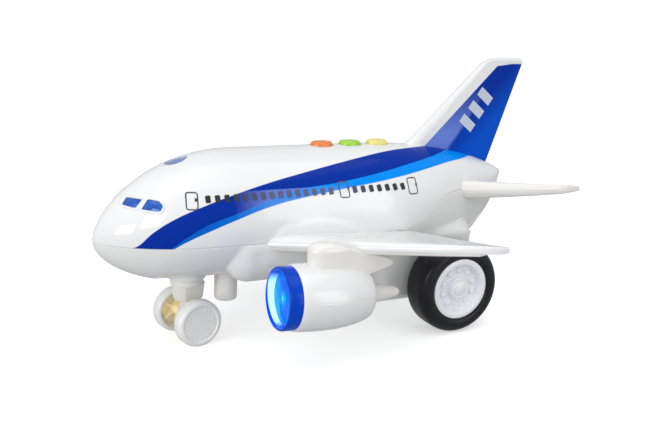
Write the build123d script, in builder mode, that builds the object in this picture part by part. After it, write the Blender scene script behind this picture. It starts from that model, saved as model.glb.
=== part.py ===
from build123d import *
import os
from math import atan2, cos, degrees, pi, radians, sin, sqrt

# Toy airliner with a friction motor, sound buttons and lit engines.
# +X is the nose, +Y the left wing, +Z up. The floor is Z = 0 and the origin is
# under the middle of the overall length. A station s is a distance back from the
# nose tip, so x = LENGTH / 2 - s.

# ---- overall sizes (millimetres) -------------------------------------------------
LENGTH = 238.0              # nose tip to the fin's upper rear corner
HEIGHT = 138.6              # floor to the top of the fin
HALF_SPAN = 100.0           # centre plane to a wing tip
CABIN_HALF_WIDTH = 29.3
CABIN_TOP = 93.6
BELLY = 30.2
NOSE_TIP_Z = 53.0
CABIN_WAIST_Z = 61.8        # height where the cabin is widest
SEAM_Z = 52.8               # joint between the upper and the lower shell
NOSE_SIDE_RUN = 56.0        # stations over which the nose reaches its full width,
NOSE_TOP_RUN = 66.0         # full height above
NOSE_BELLY_RUN = 50.0       # and full depth below
TAIL_TIP_S = 228.0          # station of the tail cone's end
TAIL_TIP_Z = 74.6
TAIL_START_S = 132.0        # station where the cabin starts to narrow
NOSE_BLUNT = 0.15           # the nose tip is cut flat at this station's width
WALL = 2.0                  # moulded shell wall

# ---- clearances ------------------------------------------------------------------
RUNNING = 0.06              # radial, shaft in a bore
PRESS = 0.02                # radial, shaft held in a bore
SLOT_GAP = 0.15             # tab in a slot, all round
SLIDE_GAP = 0.35            # round a button or the battery door
SEAT_GAP = 0.2              # a turning face over a fixed one

# ---- wheels ----------------------------------------------------------------------
REAR_WHEEL_R = 23.7
REAR_WHEEL_S = 175.0
REAR_TYRE_INNER_Y = 27.4
REAR_TYRE_WIDTH = 17.5
REAR_HUB_R = 16.2
REAR_AXLE_R = 1.5
NOSE_WHEEL_R = 11.5
NOSE_GEAR_S = 44.0
NOSE_WHEEL_INNER_Y = 8.3
NOSE_WHEEL_WIDTH = 7.1
NOSE_AXLE_R = 1.2
NOSE_STEER = 10.0           # degrees the nose gear is turned to the left at rest

# ---- engines ---------------------------------------------------------------------
ENGINE_Y = 57.6
ENGINE_Z = 36.0
ENGINE_FRONT_S = 67.3       # front rim of the clear intake
ENGINE_LENS_DEPTH = 6.1
ENGINE_LENS_R = 14.2
ENGINE_BULGE_R = 15.3
ENGINE_BULGE_S = 88.0
ENGINE_REAR_R = 11.4
ENGINE_REAR_S = 114.0
ENGINE_WALL = 1.6
ENGINE_SPLIT_Z = ENGINE_Z - 1.0
ENGINE_CONE_END_S = 129.0

# ---- buttons ---------------------------------------------------------------------
BUTTON_FIRST_S = 114.3
BUTTON_LENGTH = 11.6
BUTTON_WIDTH = 9.0
BUTTON_SPACE = 4.4          # between two buttons, more than two flange rims
BUTTON_RIM = 1.2            # flange that holds a button under the roof
BUTTON_PROUD = 1.8
BUTTON_TRAVEL = 1.0
BUTTON_STATIONS = [BUTTON_FIRST_S + k * (BUTTON_LENGTH + BUTTON_SPACE) for k in range(3)]

# ---- battery bay -----------------------------------------------------------------
BAY_START_S = 76.0
BAY_LENGTH = 52.0
CELL_R = 5.25
CELL_LENGTH = 44.5
CELL_COUNT = 3

NODES = []


def at(s):
    """X of a station."""
    return LENGTH / 2 - s


def keep(node, label):
    """Label a finished piece and remember it for the export."""
    node.part.label = label
    NODES.append(node)


def across(s, z, y=0.0):
    """Plane that faces +Y: its own x runs aft and its own y runs up."""
    return Plane(origin=(at(s), y, z), x_dir=(-1, 0, 0), z_dir=(0, 1, 0))


def station_plane(s):
    """Plane of a cabin section: its own x is Y and its own y is Z."""
    return Plane(origin=(at(s), 0, 0), x_dir=(0, 1, 0), z_dir=(1, 0, 0))


# ---- cabin shape -----------------------------------------------------------------
def ease(s, run, power):
    """Rise from 0 at the nose tip to 1 at the end of the run."""
    t = min(max(s, 0.0) / run, 1.0)
    return (1.0 - (1.0 - t) ** 2) ** power


def tail_part(s):
    """0 before the cabin narrows and 1 at the tail tip."""
    return min(max((s - TAIL_START_S) / (TAIL_TIP_S - TAIL_START_S), 0.0), 1.0)


def half_width(s):
    return CABIN_HALF_WIDTH * ease(s, NOSE_SIDE_RUN, 0.66) * (1.0 - 0.93 * tail_part(s) ** 2.1)


def waist(s):
    nose = NOSE_TIP_Z + (CABIN_WAIST_Z - NOSE_TIP_Z) * ease(s, NOSE_TOP_RUN, 0.9)
    return nose + (TAIL_TIP_Z - CABIN_WAIST_Z) * tail_part(s) ** 1.7


def top(s):
    nose = NOSE_TIP_Z + (CABIN_TOP - NOSE_TIP_Z) * ease(s, NOSE_TOP_RUN, 0.64)
    return nose - (CABIN_TOP - TAIL_TIP_Z - 2.0) * tail_part(s) ** 2.6


def belly(s):
    nose = NOSE_TIP_Z - (NOSE_TIP_Z - BELLY) * ease(s, NOSE_BELLY_RUN, 0.53)
    return nose + (TAIL_TIP_Z - BELLY - 2.0) * tail_part(s) ** 4.2


CABIN_STATIONS = (0.0, 1.2, 3.5, 8.0, 15.0, 24.0, 35.0, 47.0, 60.0, 80.0, 110.0,
                  135.0, 152.0, 168.0, 184.0, 198.0, 210.0, 220.0, TAIL_TIP_S)


def cabin_section(s, inset=0.0):
    """Oval section of the cabin, two half ellipses that meet at the waist."""
    shape_s = max(s, NOSE_BLUNT)
    wide = half_width(shape_s) - inset
    waist_z = waist(shape_s)
    rise = top(shape_s) - inset - waist_z
    drop = waist_z - belly(shape_s) - inset
    with BuildSketch(station_plane(s)) as section:
        with BuildLine():
            EllipticalCenterArc((0, waist_z), wide, rise, start_angle=0, arc_size=180)
            EllipticalCenterArc((0, waist_z), wide, drop, start_angle=180, arc_size=180)
        make_face()
    return section.sketch


def cabin(inset=0.0):
    """Closed cabin body, or the room inside it when inset is the wall."""
    if inset:
        stations = [s for s in CABIN_STATIONS if 3.0 < s < TAIL_TIP_S - 4.0]
    else:
        stations = CABIN_STATIONS
    with BuildPart() as body:
        loft(sections=[cabin_section(s, inset) for s in stations])
    return body.part


# ---- lower body: wing box and wheel housing --------------------------------------
WING_BOX_FRONT_S = 57.0
WING_BOX_REAR_S = 147.0
WING_BOX_HALF = 29.2
WING_BOX_BOTTOM = 34.6
HOUSING_FRONT_S = 136.0
HOUSING_REAR_S = 195.0
HOUSING_HALF = 25.0
HOUSING_BOTTOM = 13.5
HOUSING_TOP = 46.0
PAD_HALF = 29.4             # flat wing root pad on the cabin side


def rounded_block(front_s, rear_s, half, bottom, block_top, corner):
    """Block between two stations with its upright and lower edges rounded."""
    with BuildPart() as block:
        with BuildSketch(Plane.XY.offset(bottom)):
            with Locations((at((front_s + rear_s) / 2), 0)):
                RectangleRounded(rear_s - front_s, 2 * half, corner)
        extrude(amount=block_top - bottom)
        fillet(block.edges().group_by(Axis.Z)[0], corner * 0.6)
    return block.part


def wing_pad():
    """Arched flat pad that stands on both cabin sides above the wing root."""
    with BuildPart() as pad:
        with BuildSketch(across(0, 0)):
            with BuildLine():
                Spline((75.0, SEAM_Z - 3), (81.0, 59.4), (97.0, CABIN_WAIST_Z), (116.0, 59.6),
                       (146.0, SEAM_Z - 3))
                Line((146.0, SEAM_Z - 3), (75.0, SEAM_Z - 3))
            make_face()
        extrude(amount=PAD_HALF, both=True)
    return pad.part


body_cabin = cabin()
body_room = cabin(WALL)

with BuildPart() as body_outside:
    add(body_cabin)
    add(rounded_block(WING_BOX_FRONT_S, WING_BOX_REAR_S, WING_BOX_HALF, WING_BOX_BOTTOM, SEAM_Z + 2, 8.0))
    add(rounded_block(HOUSING_FRONT_S, HOUSING_REAR_S, HOUSING_HALF, HOUSING_BOTTOM, HOUSING_TOP, 5.0))
    add(wing_pad())

with BuildPart() as body_inside:
    add(body_room)
    add(rounded_block(WING_BOX_FRONT_S + WALL, WING_BOX_REAR_S - WALL, WING_BOX_HALF - WALL,
                      WING_BOX_BOTTOM + WALL, SEAM_Z + 2, 6.0))
    add(rounded_block(HOUSING_FRONT_S + WALL, HOUSING_REAR_S - WALL, HOUSING_HALF - WALL,
                      HOUSING_BOTTOM + WALL, HOUSING_TOP - WALL, 3.0))

# The joint between the shells is level to the wing's trailing edge and then climbs
# to the tailplane.
SEAM_CLIMB = ((154.0, SEAM_Z), (166.0, 59.0), (175.0, 67.6), (190.0, 70.2), (LENGTH + 10, 71.0))

with BuildPart() as above_seam:
    with BuildSketch(across(0, 0)):
        with BuildLine():
            Line((-10, SEAM_Z), SEAM_CLIMB[0])
            Spline(*SEAM_CLIMB, tangents=((1, 0), (1, 0)))
            Polyline(SEAM_CLIMB[-1], (LENGTH + 10, HEIGHT), (-10, HEIGHT), (-10, SEAM_Z))
        make_face()
    extrude(amount=HALF_SPAN, both=True)

# ---- wings -----------------------------------------------------------------------
WING_ROOT_Y = 22.0          # inboard end of the wing's shape, inside the body
WING_LE_ROOT_S = 76.5
WING_TE_ROOT_S = 150.5
WING_TIP_S = 151.5
WING_TE_TIP_S = 159.5
WING_ROOT_Z = 51.8
WING_TIP_Z = 60.6
WING_ROOT_THICK = 7.2
WING_TIP_THICK = 3.4
WING_WALL = 1.4
WING_FRACTIONS = (0.0, 0.25, 0.5, 0.72, 0.88, 1.0)


def wing_row(fraction):
    """Y, leading and trailing stations, middle height and thickness along the span."""
    y = WING_ROOT_Y + (HALF_SPAN - WING_ROOT_Y) * fraction
    lead = WING_LE_ROOT_S + (WING_TIP_S - WING_LE_ROOT_S) * (0.62 * fraction + 0.38 * fraction ** 2.2)
    trail = WING_TE_ROOT_S + (WING_TE_TIP_S - WING_TE_ROOT_S) * sqrt(fraction)
    z = WING_ROOT_Z + (WING_TIP_Z - WING_ROOT_Z) * fraction
    thick = WING_ROOT_THICK + (WING_TIP_THICK - WING_ROOT_THICK) * fraction
    return y, lead, trail, z, thick


def wing_solid(side, inset=0.0, last=1.0):
    """Wing shape out to a fraction of the span; the inset thins all but its underside."""
    with BuildPart() as shape:
        for fraction in [f * last for f in WING_FRACTIONS]:
            y, lead, trail, z, thick = wing_row(fraction)
            front = lead + inset
            rear = trail - inset * 2
            up = thick * 0.55 - inset
            down = thick * 0.45
            with BuildSketch(across(0, 0, side * y)):
                with BuildLine():
                    Spline((front, z), (front + 0.12 * (rear - front), z + up), (rear, z),
                           tangents=((0, 1), (1, -0.08)))
                    Spline((rear, z), (front + 0.12 * (rear - front), z - down), (front, z),
                           tangents=((-1, -0.08), (0, 1)))
                make_face()
        loft()
    return shape.part


def wing_plate_half(side):
    """Everything under the wing's lower parting plane, which follows the dihedral."""
    rise = (WING_TIP_Z - WING_ROOT_Z) / (HALF_SPAN - WING_ROOT_Y)
    drop = 1.2
    root = WING_ROOT_Z - drop - rise * WING_ROOT_Y
    with BuildPart() as half:
        with BuildSketch(Plane(origin=(at(170), 0, 0), x_dir=(0, side, 0), z_dir=(side, 0, 0))):
            with BuildLine():
                Polyline((0, root), (HALF_SPAN + 5, root + rise * (HALF_SPAN + 5)),
                         (HALF_SPAN + 5, 0), (0, 0), (0, root))
            make_face()
        extrude(amount=side * 120)
    return half.part


WING_TAB_FRONT_S = 96.0
WING_TAB_REAR_S = 136.0
WING_TAB_INNER_Y = 23.5
WING_TAB_THICK = 3.0
WING_TAB_Z = WING_ROOT_Z + 1.7


def wing_tab(side, gap=0.0):
    """Tab on the wing root that goes through the body wall."""
    with BuildPart() as tab:
        with BuildSketch(Plane.XY.offset(WING_TAB_Z - WING_TAB_THICK / 2 - gap)):
            with Locations((at((WING_TAB_FRONT_S + WING_TAB_REAR_S) / 2), side * (WING_TAB_INNER_Y + 4.5))):
                Rectangle(WING_TAB_REAR_S - WING_TAB_FRONT_S + 2 * gap, 9.0 + 2 * gap)
        extrude(amount=WING_TAB_THICK + 2 * gap)
    return tab.part


# ---- tail ------------------------------------------------------------------------
FIN_LEAD = ((163.0, 91.0), (185.1, 112.0), (209.5, 135.2))
FIN_ROOT_THICK = 6.4
FIN_TOP_THICK = 4.4
FIN_TAB_FRONT_S = 184.0
FIN_TAB_REAR_S = 206.0
FIN_TAB_DEPTH = 7.0
FIN_TAB_THICK = 2.4
TAILPLANE_LE_ROOT_S = 189.0
TAILPLANE_TE_ROOT_S = 221.0
TAILPLANE_LE_TIP_S = 224.0
TAILPLANE_TE_TIP_S = 232.0
TAILPLANE_ROOT_Z = 69.4
TAILPLANE_TIP_Z = 76.0
TAILPLANE_HALF = 60.0
TAILPLANE_ROOT_THICK = 9.0
TAILPLANE_TIP_THICK = 3.6
TAIL_TAB_INNER_Y = 8.5


def fin_solid():
    """Fin outline, thinned towards its top."""
    with BuildPart() as shape:
        with BuildSketch(across(0, 0)):
            with BuildLine():
                Polyline((172.0, 82.0), *FIN_LEAD)
                Spline(FIN_LEAD[-1], (218.6, HEIGHT - 0.3), (228.0, HEIGHT), (234.0, HEIGHT - 0.1),
                       (LENGTH, 136.4), tangents=((0.73, 0.69), (0.32, -0.95)))
                Polyline((LENGTH, 136.4), (217.6, 79.5), (212.0, 74.0), (172.0, 82.0))
            make_face()
        extrude(amount=FIN_ROOT_THICK / 2, both=True)
        lean = degrees(atan2((FIN_ROOT_THICK - FIN_TOP_THICK) / 2, HEIGHT - CABIN_TOP))
        for side in (-1, 1):
            with BuildSketch(Plane(origin=(at(0), 0, 0), x_dir=(0, side, 0), z_dir=(-side, 0, 0))):
                with BuildLine():
                    edge = FIN_ROOT_THICK / 2
                    shift = (HEIGHT - CABIN_TOP) * sin(radians(lean))
                    Polyline((edge, CABIN_TOP), (edge + 5, CABIN_TOP), (edge + 5, HEIGHT + 5),
                             (edge - shift, HEIGHT + 5), (edge, CABIN_TOP))
                make_face()
            extrude(amount=side * (LENGTH + 5), mode=Mode.SUBTRACT)
    return shape.part


def tailplane_solid(side):
    """Tailplane shape, starting inside the tail."""
    with BuildPart() as shape:
        for fraction in (0.0, 0.35, 0.7, 0.92, 1.0):
            y = 6.0 + (TAILPLANE_HALF - 6.0) * fraction
            lead = TAILPLANE_LE_ROOT_S - 8 + (TAILPLANE_LE_TIP_S + 8 - TAILPLANE_LE_ROOT_S) * fraction
            trail = TAILPLANE_TE_ROOT_S + (TAILPLANE_TE_TIP_S - TAILPLANE_TE_ROOT_S) * fraction
            z = TAILPLANE_ROOT_Z + (TAILPLANE_TIP_Z - TAILPLANE_ROOT_Z) * fraction
            half = (TAILPLANE_ROOT_THICK + (TAILPLANE_TIP_THICK - TAILPLANE_ROOT_THICK) * fraction) / 2
            with BuildSketch(across(0, 0, side * y)):
                with BuildLine():
                    Spline((lead, z), (lead + 0.16 * (trail - lead), z + half), (trail, z),
                           tangents=((0, 1), (1, -0.1)))
                    Spline((trail, z), (lead + 0.16 * (trail - lead), z - half), (lead, z),
                           tangents=((-1, -0.1), (0, 1)))
                make_face()
        loft()
    return shape.part


def tail_tab(side, gap=0.0):
    """Tab that plugs a tailplane into the tail."""
    length = 12.0 + 2 * gap
    with BuildPart() as tab:
        with BuildSketch(Plane.XY.offset(TAILPLANE_ROOT_Z - 1.2 - gap)):
            with Locations((at(200.0), side * (TAIL_TAB_INNER_Y + 5.0))):
                Rectangle(length, 10.0 + 2 * gap)
        extrude(amount=2.4 + 2 * gap)
    return tab.part


def fin_tab(gap=0.0):
    """Tab under the fin that passes through the roof."""
    with BuildPart() as tab:
        with BuildSketch(across(0, 0)):
            with BuildLine():
                low_front = top(FIN_TAB_FRONT_S) - FIN_TAB_DEPTH
                low_rear = top(FIN_TAB_REAR_S) - FIN_TAB_DEPTH
                Polyline((FIN_TAB_FRONT_S - gap, low_front - gap), (FIN_TAB_REAR_S + gap, low_rear - gap),
                         (FIN_TAB_REAR_S + gap, low_rear + FIN_TAB_DEPTH + 1),
                         (FIN_TAB_FRONT_S - gap, low_front + FIN_TAB_DEPTH + 1),
                         (FIN_TAB_FRONT_S - gap, low_front - gap))
            make_face()
        extrude(amount=FIN_TAB_THICK / 2 + gap, both=True)
    return tab.part


with BuildPart() as tail_fin:
    add(fin_solid())
    add(body_cabin, mode=Mode.SUBTRACT)
    add(fin_tab())
keep(tail_fin, "tail_fin")

for side, name in ((1, "left"), (-1, "right")):
    with BuildPart() as tailplane:
        add(tailplane_solid(side))
        add(body_cabin, mode=Mode.SUBTRACT)
        add(tail_tab(side))
    keep(tailplane, f"tailplane_{name}")

# ---- screw posts and openings shared by the two shells ---------------------------
POST_STATIONS = (63.0, 134.0)
POST_Y = 18.0
POST_R = 3.4
SCREW_R = 1.25
SCREW_HEAD_R = 2.4
SCREW_HEAD_Z = 38.0
SCREW_HEAD_THICK = 1.6
SCREW_LENGTH = 24.0
ROOF_BOSS = 29.5            # height of the screw bosses under the roof
POST_SPOTS = [(at(s), y) for s in POST_STATIONS for y in (-POST_Y, POST_Y)]

ROOF_LENS_S = 39.0
ROOF_LENS_Z = 88.4
ROOF_LENS_R = 5.8
ROOF_LENS_TILT = 19.0
WINDOW_SILL_Z = 70.2
WINDOW_TOP_Z = 76.4
BOARD_TOP_Z = 83.0
BOARD_THICK = 1.6
BOARD_MARGIN = 8.5           # board beyond the end buttons' middles
BOARD_FRONT_S = BUTTON_STATIONS[0] - BOARD_MARGIN
BOARD_REAR_S = BUTTON_STATIONS[-1] + BOARD_MARGIN
BOARD_POST_R = 2.2
BOARD_POST_Y = 8.0
BOARD_HALF = 11.5
BOARD_POST_INSET = 3.0
BOARD_POSTS = [(at(s), y) for s in (BOARD_FRONT_S + BOARD_POST_INSET, BOARD_REAR_S - BOARD_POST_INSET)
               for y in (-BOARD_POST_Y, BOARD_POST_Y)]
BOARD_SCREW_R = 0.9

lens_plane = Plane(origin=(at(ROOF_LENS_S), 0, ROOF_LENS_Z), x_dir=(0, 1, 0),
                   z_dir=(sin(radians(ROOF_LENS_TILT)), 0, cos(radians(ROOF_LENS_TILT))))

# Cockpit windows in side view: station and height of each corner.
FRONT_WINDOW = ((9.4, WINDOW_SILL_Z + 0.6), (12.6, WINDOW_TOP_Z), (17.6, WINDOW_TOP_Z + 0.2),
                (15.4, WINDOW_SILL_Z))
SIDE_WINDOW = ((18.6, WINDOW_SILL_Z - 0.2), (20.8, WINDOW_TOP_Z), (25.0, WINDOW_TOP_Z - 0.4),
               (27.0, WINDOW_SILL_Z + 2.2), (25.4, WINDOW_SILL_Z - 0.6))

with BuildPart() as upper_shell:
    add(body_outside.part)
    add(above_seam.part, mode=Mode.INTERSECT)
    add(body_inside.part, mode=Mode.SUBTRACT)
    # screw bosses down to the joint, trimmed to the room inside
    with BuildSketch(Plane.XY.offset(SEAM_Z)):
        with Locations(*POST_SPOTS):
            Circle(POST_R)
    extrude(amount=ROOF_BOSS)
    with BuildSketch(Plane.XY.offset(SEAM_Z)):
        with Locations(*POST_SPOTS):
            Circle(SCREW_R + PRESS)
    extrude(amount=SCREW_HEAD_Z + SCREW_LENGTH + 1 - SEAM_Z, mode=Mode.SUBTRACT)
    # short posts that carry the circuit board
    with BuildSketch(Plane.XY.offset(BOARD_TOP_Z)):
        with Locations(*BOARD_POSTS):
            Circle(BOARD_POST_R)
    extrude(amount=CABIN_TOP - WALL - 1.0 - BOARD_TOP_Z)
    with BuildSketch(Plane.XY.offset(BOARD_TOP_Z)):
        with Locations(*BOARD_POSTS):
            Circle(BOARD_SCREW_R + PRESS)
    extrude(amount=4.6, mode=Mode.SUBTRACT)
    # button holes
    with BuildSketch(Plane.XY.offset(BOARD_TOP_Z + 5)):
        with Locations(*[(at(s), 0) for s in BUTTON_STATIONS]):
            SlotOverall(BUTTON_LENGTH + 2 * SLIDE_GAP, BUTTON_WIDTH + 2 * SLIDE_GAP)
    extrude(amount=CABIN_TOP, mode=Mode.SUBTRACT)
    # seat of the roof lens
    with BuildSketch(lens_plane.offset(-6)):
        Circle(ROOF_LENS_R + PRESS)
    extrude(amount=12, mode=Mode.SUBTRACT)
    # cockpit window openings on both sides
    with BuildSketch(across(0, 0)):
        for window in (FRONT_WINDOW, SIDE_WINDOW):
            with BuildLine():
                Polyline(*window, window[0])
            make_face()
    extrude(amount=CABIN_HALF_WIDTH, both=True, mode=Mode.SUBTRACT)
    add(fin_tab(SLOT_GAP), mode=Mode.SUBTRACT)
    for side in (-1, 1):
        add(tail_tab(side, SLOT_GAP), mode=Mode.SUBTRACT)
        add(wing_tab(side, SLOT_GAP), mode=Mode.SUBTRACT)
keep(upper_shell, "upper_shell")

# ---- lower shell -----------------------------------------------------------------
SWIVEL_R = 4.6
SWIVEL_SEAT_R = 10.2
SWIVEL_SEAT_Z = 29.4
SWIVEL_SEAT_TOP = 34.0
PEG_S = 64.0
PEG_R = 5.6
PEG_END_Z = 18.0
BAY_SIDE_ROOM = 2.4
BAY_HALF = CELL_COUNT * CELL_R + BAY_SIDE_ROOM
BAY_CENTRE = (at(BAY_START_S + BAY_LENGTH / 2), 0)
BAY_FLOOR_Z = WING_BOX_BOTTOM + WALL
BEARING_R = 4.0
PEG_EDGE_R = 0.9


def belly_peg():
    """Round peg with a softened end, behind the nose gear."""
    with BuildPart() as peg:
        with BuildSketch(Plane.XY.offset(PEG_END_Z)):
            with Locations((at(PEG_S), 0)):
                Circle(PEG_R)
        extrude(amount=BELLY + WALL - PEG_END_Z)
        fillet(peg.edges().group_by(Axis.Z)[0], PEG_EDGE_R)
    return peg.part


with BuildPart() as lower_shell:
    add(body_outside.part)
    add(above_seam.part, mode=Mode.SUBTRACT)
    add(body_inside.part, mode=Mode.SUBTRACT)
    # screw posts
    with BuildSketch(Plane.XY.offset(WING_BOX_BOTTOM + WALL / 2)):
        with Locations(*POST_SPOTS):
            Circle(POST_R)
    extrude(amount=SEAM_Z - WING_BOX_BOTTOM - WALL / 2)
    with BuildSketch(Plane.XY.offset(WING_BOX_BOTTOM - 10)):
        with Locations(*POST_SPOTS):
            Circle(SCREW_HEAD_R + 0.3)
    extrude(amount=SCREW_HEAD_Z - WING_BOX_BOTTOM + 10, mode=Mode.SUBTRACT)
    with BuildSketch(Plane.XY.offset(SCREW_HEAD_Z - 1)):
        with Locations(*POST_SPOTS):
            Circle(SCREW_R + 0.2)
    extrude(amount=SEAM_Z + 2 - SCREW_HEAD_Z, mode=Mode.SUBTRACT)
    # round seat that the nose leg turns against, with its bore
    with BuildSketch(Plane.XY.offset(SWIVEL_SEAT_Z)):
        with Locations((at(NOSE_GEAR_S), 0)):
            Circle(SWIVEL_SEAT_R)
    extrude(amount=SWIVEL_SEAT_TOP - SWIVEL_SEAT_Z)
    with BuildSketch(Plane.XY.offset(SWIVEL_SEAT_Z - 1)):
        with Locations((at(NOSE_GEAR_S), 0)):
            Circle(SWIVEL_R + RUNNING)
    extrude(amount=SWIVEL_SEAT_TOP - SWIVEL_SEAT_Z + 2, mode=Mode.SUBTRACT)
    # peg behind the nose gear, hollow above
    add(belly_peg())
    # battery bay opening
    with BuildSketch(Plane.XY.offset(BELLY - 3)):
        with Locations(BAY_CENTRE):
            Rectangle(BAY_LENGTH, 2 * BAY_HALF)
    extrude(amount=BAY_FLOOR_Z + 3.5 - BELLY, mode=Mode.SUBTRACT)
    # axle bearings through the housing walls
    with BuildSketch(across(REAR_WHEEL_S, REAR_WHEEL_R, HOUSING_HALF)):
        Circle(BEARING_R)
    extrude(amount=-WALL - 1.0)
    with BuildSketch(across(REAR_WHEEL_S, REAR_WHEEL_R, -HOUSING_HALF)):
        Circle(BEARING_R)
    extrude(amount=WALL + 1.0)
    with BuildSketch(across(REAR_WHEEL_S, REAR_WHEEL_R)):
        Circle(REAR_AXLE_R + RUNNING)
    extrude(amount=HOUSING_HALF + 1, both=True, mode=Mode.SUBTRACT)
    for side in (-1, 1):
        add(tail_tab(side, SLOT_GAP), mode=Mode.SUBTRACT)
        add(wing_tab(side, SLOT_GAP), mode=Mode.SUBTRACT)
keep(lower_shell, "lower_shell")

# ---- wing pieces -----------------------------------------------------------------
PYLON_FRONT_S = 81.4
PYLON_REAR_S = 113.0
PYLON_HALF = 5.6
PYLON_TOP_Z = 60.0
PYLON_FOOT_Z = ENGINE_Z + 8.0
WING_POST_SPOTS = ((99.0, 42.0), (119.0, 60.0))
WING_SCREW_R = 1.0
WING_HEAD_R = 1.8
WING_SCREW_LENGTH = 3.6
WING_POST_R = 2.6
WING_SLOPE = (WING_TIP_Z - WING_ROOT_Z) / (HALF_SPAN - WING_ROOT_Y)


def wing_screw_planes(side):
    """Level planes under the heads' seats, facing down."""
    planes = []
    for s, y in WING_POST_SPOTS:
        z = WING_ROOT_Z - 2.2 + WING_SLOPE * (y - WING_ROOT_Y)
        planes.append(Plane(origin=(at(s), side * y, z), x_dir=(1, 0, 0), z_dir=(0, 0, -1)))
    return planes


for side, name in ((1, "left"), (-1, "right")):
    wing = wing_solid(side)
    with BuildPart() as wing_upper:
        add(wing)
        add(wing_plate_half(side), mode=Mode.SUBTRACT)
        add(body_outside.part, mode=Mode.SUBTRACT)
        add(wing_solid(side, WING_WALL, 0.85), mode=Mode.SUBTRACT)
        add(wing_tab(side))
    with BuildPart() as posts:
        add(wing)
        add(wing_plate_half(side), mode=Mode.SUBTRACT)
        with BuildSketch(Plane.XY):
            with Locations(*[(at(s), side * y) for s, y in WING_POST_SPOTS]):
                Circle(WING_POST_R)
        extrude(amount=HEIGHT, mode=Mode.INTERSECT)
    with BuildPart() as wing_upper_done:
        add(wing_upper.part)
        add(posts.part)
        for seat in wing_screw_planes(side):
            with BuildSketch(seat.offset(2)):
                Circle(WING_SCREW_R + PRESS)
            extrude(amount=-WING_SCREW_LENGTH - 2.3, mode=Mode.SUBTRACT)
    keep(wing_upper_done, f"wing_{name}_upper")
    with BuildPart() as wing_lower:
        add(wing)
        add(wing_plate_half(side), mode=Mode.INTERSECT)
        add(body_outside.part, mode=Mode.SUBTRACT)
        for seat in wing_screw_planes(side):
            with BuildSketch(seat.offset(-5)):
                Circle(WING_SCREW_R + 0.1)
            extrude(amount=10, mode=Mode.SUBTRACT)
            with BuildSketch(seat):
                Circle(WING_HEAD_R + 0.1)
            extrude(amount=5, mode=Mode.SUBTRACT)
    keep(wing_lower, f"wing_{name}_lower")


# ---- engines ---------------------------------------------------------------------
def engine_axis(side):
    """Plane across the engine at the nose tip's station: x is Y, y is Z, normal forward."""
    return Plane(origin=(at(0), side * ENGINE_Y, ENGINE_Z), x_dir=(0, 1, 0), z_dir=(1, 0, 0))


def engine_section(side):
    """Upright plane through an engine's axis: x is the station and y the radius."""
    return Plane(origin=(at(0), side * ENGINE_Y, ENGINE_Z), x_dir=(-1, 0, 0), z_dir=(0, 1, 0))


NACELLE_FRONT_S = ENGINE_FRONT_S + ENGINE_LENS_DEPTH


def nacelle_solid(side, inset=0.0):
    """Barrel of the engine, or the room inside it."""
    with BuildPart() as barrel:
        with BuildSketch(engine_section(side)):
            with BuildLine():
                front = NACELLE_FRONT_S + inset
                rear = ENGINE_REAR_S - inset
                Line((front, 0), (front, ENGINE_LENS_R + 0.4 - inset))
                Spline((front, ENGINE_LENS_R + 0.4 - inset), (ENGINE_BULGE_S, ENGINE_BULGE_R - inset),
                       (rear, ENGINE_REAR_R - inset))
                Line((rear, ENGINE_REAR_R - inset), (rear, 0))
                Line((rear, 0), (front, 0))
            make_face()
        revolve(axis=Axis(engine_section(side).origin, (-1, 0, 0)))
    return barrel.part


def pylon_solid(side):
    """Rounded strut from the engine up over the wing's leading edge."""
    with BuildPart() as strut:
        with BuildSketch(Plane.XY.offset(PYLON_FOOT_Z)):
            with Locations((at((PYLON_FRONT_S + PYLON_REAR_S) / 2), side * ENGINE_Y)):
                RectangleRounded(PYLON_REAR_S - PYLON_FRONT_S, 2 * PYLON_HALF, 4.5)
        extrude(amount=PYLON_TOP_Z - PYLON_FOOT_Z)
        fillet(strut.edges().group_by(Axis.Z)[-1], 2.5)
    return strut.part


def lower_half(side):
    """Half space under an engine's parting plane."""
    with BuildPart() as half:
        with BuildSketch(Plane.XY.offset(ENGINE_SPLIT_Z)):
            with Locations((at(95), side * ENGINE_Y)):
                Rectangle(80, 60)
        extrude(amount=-40)
    return half.part


CONE_FLANGE_R = 8.0
CONE_FLANGE_S = ENGINE_REAR_S - ENGINE_WALL - 1.4
CONE_MOUTH_R = 5.4
LENS_SOCKET_R = 9.0
LED_R = 2.5

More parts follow.
